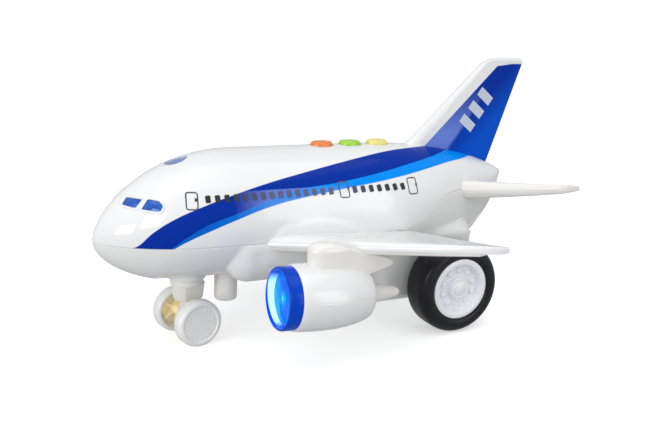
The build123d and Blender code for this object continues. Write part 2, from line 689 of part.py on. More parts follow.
for side, name in ((1, "left"), (-1, "right")):
    section = engine_section(side)
    spin_axis = Axis(section.origin, (-1, 0, 0))
    with BuildPart() as barrel:
        add(nacelle_solid(side))
        add(nacelle_solid(side, ENGINE_WALL), mode=Mode.SUBTRACT)
        with BuildSketch(engine_axis(side).offset(-ENGINE_FRONT_S)):
            Circle(LENS_SOCKET_R)
        extrude(amount=-(ENGINE_LENS_DEPTH + ENGINE_WALL + 1), mode=Mode.SUBTRACT)
        with BuildSketch(engine_axis(side).offset(-ENGINE_REAR_S - 1)):
            Circle(CONE_MOUTH_R)
        extrude(amount=ENGINE_WALL + 2, mode=Mode.SUBTRACT)
    with BuildPart() as nacelle_upper:
        add(barrel.part)
        add(lower_half(side), mode=Mode.SUBTRACT)
        add(pylon_solid(side))
        add(nacelle_solid(side, ENGINE_WALL), mode=Mode.SUBTRACT)
        add(wing_solid(side), mode=Mode.SUBTRACT)
    keep(nacelle_upper, f"nacelle_{name}_upper")
    with BuildPart() as nacelle_lower:
        add(barrel.part)
        add(lower_half(side), mode=Mode.INTERSECT)
    keep(nacelle_lower, f"nacelle_{name}_lower")
    # clear blue intake: a cup with a rim, whose back plugs into the barrel
    with BuildPart() as intake:
        with BuildSketch(section):
            with BuildLine():
                rim = ENGINE_LENS_R
                Polyline((NACELLE_FRONT_S, 0), (NACELLE_FRONT_S, rim), (ENGINE_FRONT_S + 0.6, rim),
                         (ENGINE_FRONT_S, rim - 0.6), (ENGINE_FRONT_S, rim - 1.6),
                         (NACELLE_FRONT_S - 1.6, rim - 2.6), (NACELLE_FRONT_S - 1.6, 0),
                         (NACELLE_FRONT_S, 0))
            make_face()
        revolve(axis=spin_axis)
        with BuildSketch(engine_axis(side).offset(-NACELLE_FRONT_S)):
            Circle(LENS_SOCKET_R - 0.1)
            Circle(LENS_SOCKET_R - 1.5, mode=Mode.SUBTRACT)
        extrude(amount=-4)
    keep(intake, f"engine_intake_{name}")
    with BuildPart() as lamp:
        with BuildSketch(engine_axis(side).offset(-NACELLE_FRONT_S)):
            Circle(LED_R)
        extrude(amount=-6.0)
        with BuildSketch(engine_axis(side).offset(-NACELLE_FRONT_S - 6.0)):
            Circle(LENS_SOCKET_R - 1.6)
        extrude(amount=-1.2)
        with BuildSketch(engine_axis(side).offset(-NACELLE_FRONT_S)):
            Circle(LENS_SOCKET_R - 1.6)
            Circle(LENS_SOCKET_R - 2.6, mode=Mode.SUBTRACT)
        extrude(amount=-6.0)
    keep(lamp, f"engine_lamp_{name}")
    with BuildPart() as cone:
        with BuildSketch(section):
            with BuildLine():
                Polyline((CONE_FLANGE_S, 0), (CONE_FLANGE_S, CONE_FLANGE_R),
                         (CONE_FLANGE_S + 1.4, CONE_FLANGE_R), (CONE_FLANGE_S + 1.4, CONE_MOUTH_R - 0.1),
                         (ENGINE_REAR_S, CONE_MOUTH_R - 0.1), (ENGINE_CONE_END_S - 1.2, 2.1),
                         (ENGINE_CONE_END_S, 1.1), (ENGINE_CONE_END_S, 0), (CONE_FLANGE_S, 0))
            make_face()
        revolve(axis=spin_axis)
    keep(cone, f"engine_cone_{name}")

# ---- nose gear, turned on its swivel ---------------------------------------------
steer = radians(NOSE_STEER)
gear_ground = Plane(origin=(at(NOSE_GEAR_S), 0, 0), x_dir=(cos(steer), sin(steer), 0), z_dir=(0, 0, 1))
gear_left = Vector(-sin(steer), cos(steer), 0)
LEG_DISC_R = 9.4
LEG_DISC_THICK = 1.7
LEG_TOP_Z = SWIVEL_SEAT_Z - SEAT_GAP
LEG_BLOCK_Z = 20.2
LEG_BLOCK_LENGTH = 15.0
LEG_BLOCK_WIDTH = 11.0
LEG_BLOCK_CORNER = 2.6
LEG_BLOCK_TAPER = 3.0
LEG_BLOCK_SET_BACK = 0.5
STRUT_LENGTH = 6.0
STRUT_WIDTH = 8.0
STRUT_FOOT_Z = NOSE_WHEEL_R - 3.4
WASHER_R = 7.2
WASHER_THICK = 1.4
SWIVEL_TOP_Z = SWIVEL_SEAT_TOP + SEAT_GAP
SWIVEL_SCREW_HEAD_R = 2.6
SWIVEL_SCREW_HEAD = 1.6
SWIVEL_SCREW_LENGTH = 9.0


def gear_across(along_left, height=NOSE_WHEEL_R):
    """Plane across the nose axle: own x aft, own y up, normal to the gear's left."""
    place = gear_ground.origin + gear_left * along_left + Vector(0, 0, height)
    return Plane(origin=place, x_dir=(-cos(steer), -sin(steer), 0), z_dir=gear_left)


with BuildPart() as nose_leg:
    with BuildSketch(gear_ground.offset(LEG_TOP_Z - LEG_DISC_THICK)):
        Circle(LEG_DISC_R)
    extrude(amount=LEG_DISC_THICK)
    with BuildSketch(gear_ground.offset(LEG_TOP_Z)):
        Circle(SWIVEL_R)
    extrude(amount=SWIVEL_TOP_Z - LEG_TOP_Z)
    with BuildSketch(gear_ground.offset(LEG_TOP_Z - LEG_DISC_THICK)):
        with Locations((-LEG_BLOCK_SET_BACK, 0)):
            RectangleRounded(LEG_BLOCK_LENGTH, LEG_BLOCK_WIDTH, LEG_BLOCK_CORNER)
    extrude(amount=LEG_BLOCK_Z - LEG_TOP_Z + LEG_DISC_THICK, taper=LEG_BLOCK_TAPER)
    with BuildSketch(gear_ground.offset(LEG_BLOCK_Z)):
        Rectangle(STRUT_LENGTH, STRUT_WIDTH)
    extrude(amount=STRUT_FOOT_Z - LEG_BLOCK_Z)
    with BuildSketch(gear_across(0)):
        Circle(NOSE_AXLE_R + RUNNING)
    extrude(amount=STRUT_WIDTH, both=True, mode=Mode.SUBTRACT)
    with BuildSketch(gear_ground.offset(SWIVEL_TOP_Z)):
        Circle(SCREW_R + PRESS)
    extrude(amount=-SWIVEL_SCREW_LENGTH - 1.0, mode=Mode.SUBTRACT)
keep(nose_leg, "nose_leg")

with BuildPart() as swivel_washer:
    with BuildSketch(gear_ground.offset(SWIVEL_TOP_Z)):
        Circle(WASHER_R)
        Circle(SCREW_R + 0.1, mode=Mode.SUBTRACT)
    extrude(amount=WASHER_THICK)
keep(swivel_washer, "swivel_washer")


def screw(plane, shank_r, head_r, head_thick, length):
    """Pan-head screw: head above the plane, shank below it, with a cross recess."""
    with BuildPart() as body:
        with BuildSketch(plane):
            Circle(head_r)
        extrude(amount=head_thick)
        fillet(body.edges().group_by(lambda edge: plane.to_local_coords(edge.center()).Z)[-1], head_thick * 0.4)
        with BuildSketch(plane):
            Circle(shank_r)
        extrude(amount=-length)
        with BuildSketch(plane.offset(head_thick)):
            Rectangle(head_r * 1.2, head_r * 0.3)
            Rectangle(head_r * 0.3, head_r * 1.2)
        extrude(amount=-head_thick * 0.5, mode=Mode.SUBTRACT)
    return body.part


with BuildPart() as swivel_screw:
    add(screw(gear_ground.offset(SWIVEL_TOP_Z + WASHER_THICK), SCREW_R, SWIVEL_SCREW_HEAD_R,
              SWIVEL_SCREW_HEAD, SWIVEL_SCREW_LENGTH))
keep(swivel_screw, "swivel_screw")

NOSE_HUB_R = 2.7
NOSE_HUB_INNER_Y = STRUT_WIDTH / 2 + 0.4
NOSE_RIM_WALL = 1.5
NOSE_RIBS = 6
NOSE_RIB_THICK = 1.0
NOSE_RIB_DEPTH = 3.6
NOSE_TREAD = 2.2             # plastic between the wheel's hollow and its rolling face
NOSE_EDGE_R = 1.5
NOSE_FACE_DEPTH = 0.6        # the face lies this far inside its raised ring

with BuildPart() as nose_axle:
    with BuildSketch(gear_across(-NOSE_WHEEL_INNER_Y - NOSE_WHEEL_WIDTH + NOSE_RIM_WALL)):
        Circle(NOSE_AXLE_R)
    extrude(amount=2 * (NOSE_WHEEL_INNER_Y + NOSE_WHEEL_WIDTH - NOSE_RIM_WALL))
keep(nose_axle, "nose_axle")

for side, name in ((1, "left"), (-1, "right")):
    face_y = side * (NOSE_WHEEL_INNER_Y + NOSE_WHEEL_WIDTH)
    inward = -side
    with BuildPart() as nose_wheel:
        with BuildSketch(gear_across(face_y)):
            Circle(NOSE_WHEEL_R)
        extrude(amount=inward * NOSE_WHEEL_WIDTH)
        fillet(nose_wheel.edges().filter_by(GeomType.CIRCLE), NOSE_EDGE_R)
        with BuildSketch(gear_across(face_y + inward * NOSE_RIM_WALL)):
            Circle(NOSE_WHEEL_R - NOSE_TREAD)
        extrude(amount=inward * NOSE_WHEEL_WIDTH, mode=Mode.SUBTRACT)
        # raised ring round the face
        with BuildSketch(gear_across(face_y + inward * NOSE_FACE_DEPTH)):
            Circle(NOSE_WHEEL_R - NOSE_TREAD - 0.2)
        extrude(amount=-inward * 2 * NOSE_FACE_DEPTH, mode=Mode.SUBTRACT)
        with BuildSketch(gear_across(face_y + inward * NOSE_RIM_WALL)):
            Circle(NOSE_HUB_R)
            with PolarLocations(0, NOSE_RIBS):
                with Locations(((NOSE_WHEEL_R - NOSE_TREAD + 0.2) / 2, 0)):
                    Rectangle(NOSE_WHEEL_R - NOSE_TREAD + 0.2, NOSE_RIB_THICK)
        extrude(amount=inward * NOSE_RIB_DEPTH)
        with BuildSketch(gear_across(face_y + inward * NOSE_RIM_WALL)):
            Circle(NOSE_HUB_R)
        extrude(amount=inward * (abs(face_y) - NOSE_RIM_WALL - NOSE_HUB_INNER_Y))
        with BuildSketch(gear_across(face_y + inward * NOSE_RIM_WALL)):
            Circle(NOSE_AXLE_R + PRESS)
        extrude(amount=inward * NOSE_WHEEL_WIDTH * 2, mode=Mode.SUBTRACT)
    keep(nose_wheel, f"nose_wheel_{name}")

# ---- rear wheels -----------------------------------------------------------------
TYRE_GAP = 0.05
TYRE_OUTER_Y = REAR_TYRE_INNER_Y + REAR_TYRE_WIDTH
TYRE_SHOULDER_R = 0.42 * (REAR_WHEEL_R - REAR_HUB_R)
HUB_INSET = 0.5              # the hub's two faces inside the tyre's
HUB_OUTER_Y = TYRE_OUTER_Y - HUB_INSET
HUB_INNER_Y = REAR_TYRE_INNER_Y + HUB_INSET
HUB_WALL = 1.8
HUB_BACK_DEPTH = 10.0
HUB_DISH_R = 13.2
HUB_DISH_DEPTH = 3.2
HUB_CAP_R = 5.6
HUB_BUMPS = 10
HUB_BUMP_R = 1.4
HUB_BUMP_HEIGHT = 1.6
HUB_BUMP_CIRCLE_R = 9.8
HUB_NECK_R = 3.6
HOUSING_SIDE_GAP = 0.5
REAR_AXLE_HALF = HUB_OUTER_Y - 4.0

with BuildPart() as rear_axle:
    with BuildSketch(across(REAR_WHEEL_S, REAR_WHEEL_R, -REAR_AXLE_HALF)):
        Circle(REAR_AXLE_R)
    extrude(amount=2 * REAR_AXLE_HALF)
keep(rear_axle, "rear_axle")

for side, name in ((1, "left"), (-1, "right")):
    with BuildPart() as tyre:
        with BuildSketch(Plane(origin=(at(REAR_WHEEL_S), 0, REAR_WHEEL_R), x_dir=(0, side, 0),
                               z_dir=(side, 0, 0))) as tyre_profile:
            with Locations((REAR_TYRE_INNER_Y + REAR_TYRE_WIDTH / 2, (REAR_WHEEL_R + REAR_HUB_R) / 2)):
                Rectangle(REAR_TYRE_WIDTH, REAR_WHEEL_R - REAR_HUB_R - 2 * TYRE_GAP)
            fillet(tyre_profile.vertices().group_by(Axis.Z)[-1], TYRE_SHOULDER_R)
        revolve(axis=Axis((at(REAR_WHEEL_S), 0, REAR_WHEEL_R), (0, 1, 0)))
    keep(tyre, f"rear_tyre_{name}")
    with BuildPart() as hub:
        with BuildSketch(across(REAR_WHEEL_S, REAR_WHEEL_R, side * HUB_INNER_Y)):
            Circle(REAR_HUB_R)
        extrude(amount=side * (HUB_OUTER_Y - HUB_INNER_Y))
        with BuildSketch(across(REAR_WHEEL_S, REAR_WHEEL_R, side * HUB_OUTER_Y)):
            Circle(HUB_DISH_R)
            Circle(HUB_CAP_R, mode=Mode.SUBTRACT)
        extrude(amount=-side * HUB_DISH_DEPTH, mode=Mode.SUBTRACT)
        with BuildSketch(across(REAR_WHEEL_S, REAR_WHEEL_R, side * (HUB_OUTER_Y - HUB_DISH_DEPTH))):
            with PolarLocations(HUB_BUMP_CIRCLE_R, HUB_BUMPS):
                Circle(HUB_BUMP_R)
        extrude(amount=side * HUB_BUMP_HEIGHT)
        # hollow back with a neck that keeps the wheel off the housing
        with BuildSketch(across(REAR_WHEEL_S, REAR_WHEEL_R, side * HUB_INNER_Y)):
            Circle(REAR_HUB_R - HUB_WALL)
            Circle(HUB_NECK_R, mode=Mode.SUBTRACT)
        extrude(amount=side * HUB_BACK_DEPTH, mode=Mode.SUBTRACT)
        with BuildSketch(across(REAR_WHEEL_S, REAR_WHEEL_R, side * (HOUSING_HALF + HOUSING_SIDE_GAP))):
            Circle(HUB_NECK_R)
        extrude(amount=side * (HUB_INNER_Y - HOUSING_HALF - HOUSING_SIDE_GAP + HUB_WALL))
        with BuildSketch(across(REAR_WHEEL_S, REAR_WHEEL_R, side * HOUSING_HALF)):
            Circle(REAR_AXLE_R + PRESS)
        extrude(amount=side * (REAR_AXLE_HALF - HOUSING_HALF), mode=Mode.SUBTRACT)
    keep(hub, f"rear_hub_{name}")

# ---- friction motor --------------------------------------------------------------
GEAR_MODULE = 0.8
AXLE_TEETH = 17
IDLER_PINION_TEETH = 9
IDLER_GEAR_TEETH = 18
FLYWHEEL_TEETH = 8
MESH_SLACK = 0.12
IDLER_LEAN = 25.0           # degrees above level, from the rear axle forward
FLYWHEEL_LEAN = 35.0
SHAFT_R = 1.0
FLYWHEEL_R = 10.0
FLYWHEEL_THICK = 5.0
CASE_HALF = 8.0
CASE_WALL = 1.5
AXLE_GEAR_Y = 2.0           # inner faces of the two rows of gears
IDLER_GEAR_Y = -5.5
GEAR_WIDTH = 3.5
IDLER_NECK_R = 2.0
CASE_SHAFT_ROOM = 7.0        # case in front of the flywheel's shaft
CASE_AXLE_ROOM = 9.0         # case behind the rear axle
CASE_HEAD_ROOM = 6.5         # case above the flywheel's shaft


def pitch_r(teeth):
    return GEAR_MODULE * teeth / 2


def geared_place(start, teeth_a, teeth_b, lean):
    """Station and height of a shaft that meshes with the one at start."""
    reach = pitch_r(teeth_a) + pitch_r(teeth_b) + MESH_SLACK
    return (start[0] - reach * cos(radians(lean)), start[1] + reach * sin(radians(lean)))


axle_place = (REAR_WHEEL_S, REAR_WHEEL_R)
idler_place = geared_place(axle_place, AXLE_TEETH, IDLER_PINION_TEETH, IDLER_LEAN)
flywheel_place = geared_place(idler_place, IDLER_GEAR_TEETH, FLYWHEEL_TEETH, FLYWHEEL_LEAN)


def spur_gear(place, y, teeth, first_tooth, bore_r):
    """Spur gear on a shaft along Y; first_tooth is that tooth's angle above aft."""
    pitch = pi * GEAR_MODULE
    root_r = pitch_r(teeth) - GEAR_MODULE * 1.15
    tip_r = pitch_r(teeth) + GEAR_MODULE * 0.85
    with BuildPart() as gear:
        with BuildSketch(across(place[0], place[1], y)):
            Circle(root_r)
            with PolarLocations(0, teeth, start_angle=first_tooth):
                Polygon((root_r - 0.3, -0.29 * pitch), (tip_r, -0.11 * pitch), (tip_r, 0.11 * pitch),
                        (root_r - 0.3, 0.29 * pitch), align=None)
            if bore_r:
                Circle(bore_r, mode=Mode.SUBTRACT)
        extrude(amount=GEAR_WIDTH)
    return gear.part


# Teeth meet on the line of centres: a tooth of the driver faces a gap of the driven.
toward_idler = 180.0 - IDLER_LEAN
toward_flywheel = 180.0 - FLYWHEEL_LEAN

with BuildPart() as axle_gear:
    add(spur_gear(axle_place, AXLE_GEAR_Y, AXLE_TEETH, toward_idler, REAR_AXLE_R + PRESS))
keep(axle_gear, "axle_gear")

with BuildPart() as idler_gear:
    add(spur_gear(idler_place, AXLE_GEAR_Y, IDLER_PINION_TEETH,
                  toward_idler + 180.0 + 180.0 / IDLER_PINION_TEETH, 0))
    add(spur_gear(idler_place, IDLER_GEAR_Y, IDLER_GEAR_TEETH, toward_flywheel, 0))
    with BuildSketch(across(idler_place[0], idler_place[1], -CASE_HALF)):
        Circle(SHAFT_R)
    extrude(amount=2 * CASE_HALF)
    with BuildSketch(across(idler_place[0], idler_place[1], IDLER_GEAR_Y)):
        Circle(IDLER_NECK_R)
    extrude(amount=AXLE_GEAR_Y - IDLER_GEAR_Y)
keep(idler_gear, "idler_gear")

with BuildPart() as flywheel_shaft:
    add(spur_gear(flywheel_place, IDLER_GEAR_Y, FLYWHEEL_TEETH,
                  toward_flywheel + 180.0 + 180.0 / FLYWHEEL_TEETH, 0))
    with BuildSketch(across(flywheel_place[0], flywheel_place[1], -CASE_HALF)):
        Circle(SHAFT_R)
    extrude(amount=2 * CASE_HALF + 1.0 + FLYWHEEL_THICK)
keep(flywheel_shaft, "flywheel_shaft")

with BuildPart() as flywheel:
    with BuildSketch(across(flywheel_place[0], flywheel_place[1], CASE_HALF + 1.0)):
        Circle(FLYWHEEL_R)
        Circle(SHAFT_R + PRESS, mode=Mode.SUBTRACT)
    extrude(amount=FLYWHEEL_THICK)
    fillet(flywheel.edges().filter_by(GeomType.CIRCLE).group_by(SortBy.RADIUS)[-1], 0.6)
keep(flywheel, "flywheel")

CASE_FRONT_S = flywheel_place[0] - CASE_SHAFT_ROOM
CASE_REAR_S = REAR_WHEEL_S + CASE_AXLE_ROOM
CASE_TOP_Z = flywheel_place[1] + CASE_HEAD_ROOM
CASE_BOTTOM_Z = HOUSING_BOTTOM + WALL
CASE_MIDDLE = ((CASE_FRONT_S + CASE_REAR_S) / 2, (CASE_TOP_Z + CASE_BOTTOM_Z) / 2)

for side, name in ((1, "left"), (-1, "right")):
    with BuildPart() as case_half:
        with BuildSketch(across(*CASE_MIDDLE, side * CASE_HALF)):
            Rectangle(CASE_REAR_S - CASE_FRONT_S, CASE_TOP_Z - CASE_BOTTOM_Z)
        extrude(amount=-side * CASE_HALF)
        with BuildSketch(across(CASE_MIDDLE[0], CASE_MIDDLE[1] - CASE_WALL, side * (CASE_HALF - CASE_WALL))):
            Rectangle(CASE_REAR_S - CASE_FRONT_S - 2 * CASE_WALL, CASE_TOP_Z - CASE_BOTTOM_Z)
        extrude(amount=-side * CASE_HALF, mode=Mode.SUBTRACT)
        for place, shaft in ((axle_place, REAR_AXLE_R), (idler_place, SHAFT_R), (flywheel_place, SHAFT_R)):
            with BuildSketch(across(place[0], place[1], 0)):
                Circle(shaft + RUNNING)
            extrude(amount=side * (CASE_HALF + 1), mode=Mode.SUBTRACT)
    keep(case_half, f"motor_case_{name}")

# ---- battery bay -----------------------------------------------------------------
BAY_ROOF_Z = BAY_FLOOR_Z + 2 * CELL_R - 0.2
CELL_SPACING = 2 * CELL_R + 0.4
CELL_KNOB_R = 1.8
CELL_KNOB = 1.0
CONTACT_THICK = 0.6
BAY_WALL = 1.4
CELL_Z = BAY_ROOF_Z - CELL_R

with BuildPart() as battery_box:
    with BuildSketch(Plane.XY.offset(BAY_FLOOR_Z)):
        with Locations(BAY_CENTRE):
            Rectangle(BAY_LENGTH + 2 * BAY_WALL, 2 * BAY_HALF + 2 * BAY_WALL)
            Rectangle(BAY_LENGTH, 2 * BAY_HALF, mode=Mode.SUBTRACT)
    extrude(amount=BAY_ROOF_Z - BAY_FLOOR_Z)
    with BuildSketch(Plane.XY.offset(BAY_ROOF_Z)):
        with Locations(BAY_CENTRE):
            Rectangle(BAY_LENGTH + 2 * BAY_WALL, 2 * BAY_HALF + 2 * BAY_WALL)
    extrude(amount=BAY_WALL)
keep(battery_box, "battery_box")

with BuildPart() as cells:
    for k in range(CELL_COUNT):
        y = (k - (CELL_COUNT - 1) / 2) * CELL_SPACING
        cell_front = Plane(origin=(BAY_CENTRE[0] + CELL_LENGTH / 2, y, CELL_Z), x_dir=(0, 1, 0),
                           z_dir=(1, 0, 0))
        with BuildSketch(cell_front):
            Circle(CELL_R)
        extrude(amount=-CELL_LENGTH + CELL_KNOB)
        with BuildSketch(cell_front):
            Circle(CELL_KNOB_R)
        extrude(amount=CELL_KNOB)
keep(cells, "battery_cells")

with BuildPart() as contacts:
    for end in (-1, 1):
        with BuildSketch(Plane.XY.offset(BAY_FLOOR_Z + 0.1)):
            with Locations((BAY_CENTRE[0] + end * (BAY_LENGTH - CONTACT_THICK) / 2, 0)):
                Rectangle(CONTACT_THICK, 2 * BAY_HALF - 2.0)
        extrude(amount=BAY_ROOF_Z - BAY_FLOOR_Z - 0.2)
    for k in range(CELL_COUNT):
        y = (k - (CELL_COUNT - 1) / 2) * CELL_SPACING
        rear_face = BAY_CENTRE[0] - BAY_LENGTH / 2 + CONTACT_THICK
        with BuildSketch(Plane(origin=(rear_face, y, CELL_Z), x_dir=(0, 1, 0), z_dir=(1, 0, 0))):
            Circle(3.0)
        extrude(amount=(BAY_LENGTH - CELL_LENGTH) / 2 + 0.2, taper=12)
        front_face = BAY_CENTRE[0] + BAY_LENGTH / 2 - CONTACT_THICK
        with BuildSketch(Plane(origin=(front_face, y, CELL_Z), x_dir=(0, 1, 0), z_dir=(-1, 0, 0))):
            Circle(2.4)
        extrude(amount=(BAY_LENGTH - CELL_LENGTH) / 2 - 1.7, taper=8)
keep(contacts, "battery_contacts")

with BuildPart() as battery_door:
    add(body_outside.part)
    add(body_inside.part, mode=Mode.SUBTRACT)
    with BuildSketch(Plane.XY.offset(BELLY - 4)):
        with Locations(BAY_CENTRE):
            Rectangle(BAY_LENGTH - 2 * SLIDE_GAP, 2 * BAY_HALF - 2 * SLIDE_GAP)
    extrude(amount=BAY_FLOOR_Z + 4 - BELLY, mode=Mode.INTERSECT)
keep(battery_door, "battery_door")

# ---- circuit board, switches, loudspeaker, lamps ---------------------------------
with BuildPart() as circuit_board:
    with BuildSketch(Plane.XY.offset(BOARD_TOP_Z - BOARD_THICK)):
        with Locations((at((BOARD_FRONT_S + BOARD_REAR_S) / 2), 0)):
            Rectangle(BOARD_REAR_S - BOARD_FRONT_S, 2 * BOARD_HALF)
        with Locations(*BOARD_POSTS):
            Circle(BOARD_SCREW_R + 0.1, mode=Mode.SUBTRACT)
    extrude(amount=BOARD_THICK)
keep(circuit_board, "circuit_board")

with BuildPart() as board_screws:
    for x, y in BOARD_POSTS:
        add(screw(Plane(origin=(x, y, BOARD_TOP_Z - BOARD_THICK), x_dir=(1, 0, 0), z_dir=(0, 0, -1)),
                  BOARD_SCREW_R, 1.8, 1.2, 5.6))
keep(board_screws, "board_screws")

BUTTON_FLANGE_TOP = CABIN_TOP - WALL - 1.3
BUTTON_FLANGE = 1.2
BUTTON_EDGE_R = 1.2
BUTTON_FOOT_R = 2.4
SWITCH_SIZE = 6.0
SWITCH_BODY = 2.4
SWITCH_STEM_R = 1.7
BUTTON_FOOT_Z = BOARD_TOP_Z + 4.4
SWITCH_TOP_Z = BUTTON_FOOT_Z - BUTTON_TRAVEL - 0.1

with BuildPart() as switches:
    with BuildSketch(Plane.XY.offset(BOARD_TOP_Z)):
        with Locations(*[(at(s), 0) for s in BUTTON_STATIONS]):
            RectangleRounded(SWITCH_SIZE, SWITCH_SIZE, 0.5)
    extrude(amount=SWITCH_BODY)
    with BuildSketch(Plane.XY.offset(BOARD_TOP_Z + SWITCH_BODY)):
        with Locations(*[(at(s), 0) for s in BUTTON_STATIONS]):
            Circle(SWITCH_STEM_R)
    extrude(amount=SWITCH_TOP_Z - BOARD_TOP_Z - SWITCH_BODY)
keep(switches, "switches")

for s, name in zip(BUTTON_STATIONS, ("front", "middle", "rear")):
    with BuildPart() as button:
        with BuildSketch(Plane.XY.offset(BUTTON_FLANGE_TOP)):
            with Locations((at(s), 0)):
                SlotOverall(BUTTON_LENGTH, BUTTON_WIDTH)
        extrude(amount=CABIN_TOP + BUTTON_PROUD - BUTTON_FLANGE_TOP)
        fillet(button.edges().group_by(Axis.Z)[-1], BUTTON_EDGE_R)
        with BuildSketch(Plane.XY.offset(BUTTON_FLANGE_TOP - BUTTON_FLANGE)):
            with Locations((at(s), 0)):
                SlotOverall(BUTTON_LENGTH + 2 * BUTTON_RIM, BUTTON_WIDTH + 2 * BUTTON_RIM)
        extrude(amount=BUTTON_FLANGE)
        with BuildSketch(Plane.XY.offset(BUTTON_FOOT_Z)):
            with Locations((at(s), 0)):
                Circle(BUTTON_FOOT_R)
        extrude(amount=BUTTON_FLANGE_TOP - BUTTON_FOOT_Z)
    keep(button, f"button_{name}")

SPEAKER_Z = BAY_ROOF_Z + BAY_WALL
MAGNET_R = 8.0
MAGNET_THICK = 2.4
SPEAKER_R = 13.0
SPEAKER_THICK = 2.0
SPEAKER_RIM = 1.0
SPEAKER_DISH = 1.2

with BuildPart() as loudspeaker:
    with BuildSketch(Plane.XY.offset(SPEAKER_Z)):
        with Locations(BAY_CENTRE):
            Circle(MAGNET_R)
    extrude(amount=MAGNET_THICK)
    with BuildSketch(Plane.XY.offset(SPEAKER_Z + MAGNET_THICK)):
        with Locations(BAY_CENTRE):
            Circle(SPEAKER_R)
    extrude(amount=SPEAKER_THICK)
    with BuildSketch(Plane.XY.offset(SPEAKER_Z + MAGNET_THICK + SPEAKER_THICK)):
        with Locations(BAY_CENTRE):
            Circle(SPEAKER_R - SPEAKER_RIM)
    extrude(amount=-SPEAKER_DISH, taper=30, mode=Mode.SUBTRACT)
keep(loudspeaker, "loudspeaker")

ROOF_LENS_SUNK = 0.9
ROOF_LENS_THICK = 2.0
LED_LENGTH = 5.0
LED_FLANGE = 0.4

with BuildPart() as roof_lens:
    with BuildSketch(lens_plane.offset(-ROOF_LENS_SUNK)):
        Circle(ROOF_LENS_R)
    extrude(amount=-ROOF_LENS_THICK)
keep(roof_lens, "roof_lens")

with BuildPart() as nose_lamp:
    with BuildSketch(lens_plane.offset(-ROOF_LENS_SUNK - ROOF_LENS_THICK)):
        Circle(LED_R)
    extrude(amount=-LED_LENGTH)
    with BuildSketch(lens_plane.offset(-ROOF_LENS_SUNK - ROOF_LENS_THICK - LED_LENGTH)):
        Circle(LED_R + LED_FLANGE)
    extrude(amount=-1.0)
keep(nose_lamp, "nose_lamp")

GLAZING_GAP = 0.05
GLAZING_THICK = 1.2
with BuildPart() as cockpit_glazing:
    add(cabin(WALL + GLAZING_GAP))
    with BuildSketch(Plane.XY.offset(WINDOW_SILL_Z - 3.0)):
        with Locations((at(18.0), 0)):
            Rectangle(26.0, 2 * CABIN_HALF_WIDTH)
    extrude(amount=WINDOW_TOP_Z - WINDOW_SILL_Z + 6.0, mode=Mode.INTERSECT)
    add(cabin(WALL + GLAZING_GAP + GLAZING_THICK), mode=Mode.SUBTRACT)
keep(cockpit_glazing, "cockpit_glazing")

# ---- screws that hold the shells -------------------------------------------------
with BuildPart() as shell_screws:
    for x, y in POST_SPOTS:
        add(screw(Plane(origin=(x, y, SCREW_HEAD_Z - 1.0), x_dir=(1, 0, 0), z_dir=(0, 0, -1)),
                  SCREW_R, SCREW_HEAD_R, SCREW_HEAD_THICK, SCREW_LENGTH))
keep(shell_screws, "shell_screws")

with BuildPart() as wing_screws:
    for side in (-1, 1):
        for seat in wing_screw_planes(side):
            add(screw(seat, WING_SCREW_R, WING_HEAD_R, 0.8, WING_SCREW_LENGTH))
keep(wing_screws, "wing_screws")

for node in NODES:
    print(node.part.label, len(node.part.solids()), round(node.part.volume, 1), node.part.is_valid)

os.makedirs("parts", exist_ok=True)
for node in NODES:
    export_step(node.part, f"parts/{node.part.label}.step")
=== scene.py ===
# %% [markdown]
# # A toy airliner
#
# This lesson dresses a friction-driven toy airliner. The construction, with its joints and
# wheels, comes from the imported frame. Here each visible moulding is modelled again with
# smooth surfaces, crisp joints and printed trim, and rides on the body that moves it.
# All shapes are worked out in millimetres and written in metres. A station is the distance
# back from the nose tip, and a height is measured from the ground.

# %% The frame and its box
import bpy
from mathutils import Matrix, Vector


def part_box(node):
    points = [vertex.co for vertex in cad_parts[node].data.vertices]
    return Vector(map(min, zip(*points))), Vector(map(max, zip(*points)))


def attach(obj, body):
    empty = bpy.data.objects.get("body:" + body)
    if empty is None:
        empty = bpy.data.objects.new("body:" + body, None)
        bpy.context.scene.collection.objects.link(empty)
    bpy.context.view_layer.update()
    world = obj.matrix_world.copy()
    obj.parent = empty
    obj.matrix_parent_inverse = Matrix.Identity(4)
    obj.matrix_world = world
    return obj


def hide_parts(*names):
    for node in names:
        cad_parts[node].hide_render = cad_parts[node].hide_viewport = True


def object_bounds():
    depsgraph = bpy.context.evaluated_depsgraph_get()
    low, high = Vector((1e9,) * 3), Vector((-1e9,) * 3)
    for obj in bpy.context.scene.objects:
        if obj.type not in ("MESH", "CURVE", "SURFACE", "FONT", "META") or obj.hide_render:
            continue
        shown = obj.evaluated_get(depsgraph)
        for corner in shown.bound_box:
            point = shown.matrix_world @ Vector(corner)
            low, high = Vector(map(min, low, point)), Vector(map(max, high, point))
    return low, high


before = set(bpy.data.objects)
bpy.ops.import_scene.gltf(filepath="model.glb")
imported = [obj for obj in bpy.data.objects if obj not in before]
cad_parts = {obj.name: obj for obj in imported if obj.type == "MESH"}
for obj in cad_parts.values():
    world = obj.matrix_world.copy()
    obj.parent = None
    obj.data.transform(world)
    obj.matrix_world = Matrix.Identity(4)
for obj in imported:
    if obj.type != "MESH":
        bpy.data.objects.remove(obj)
cad_box = [list(corner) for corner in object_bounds()]

import math

import bmesh
import bpy
import numpy as np
from mathutils import Matrix, Vector

MM = 0.001
GEAR_S, PEG_S, REAR_AXLE_S, ENGINE_S = 44.0, 64.0, 175.0, 70.0
ENGINE_Y, ENGINE_Z = 57.6, 36.0
LOW = np.array(cad_box[0]) / MM
HIGH = np.array(cad_box[1]) / MM
HALF_SPAN = HIGH[1]
NOSE_X = HIGH[0]
GEAR_X = NOSE_X - GEAR_S
print("frame box, mm:", LOW.round(1), HIGH.round(1))


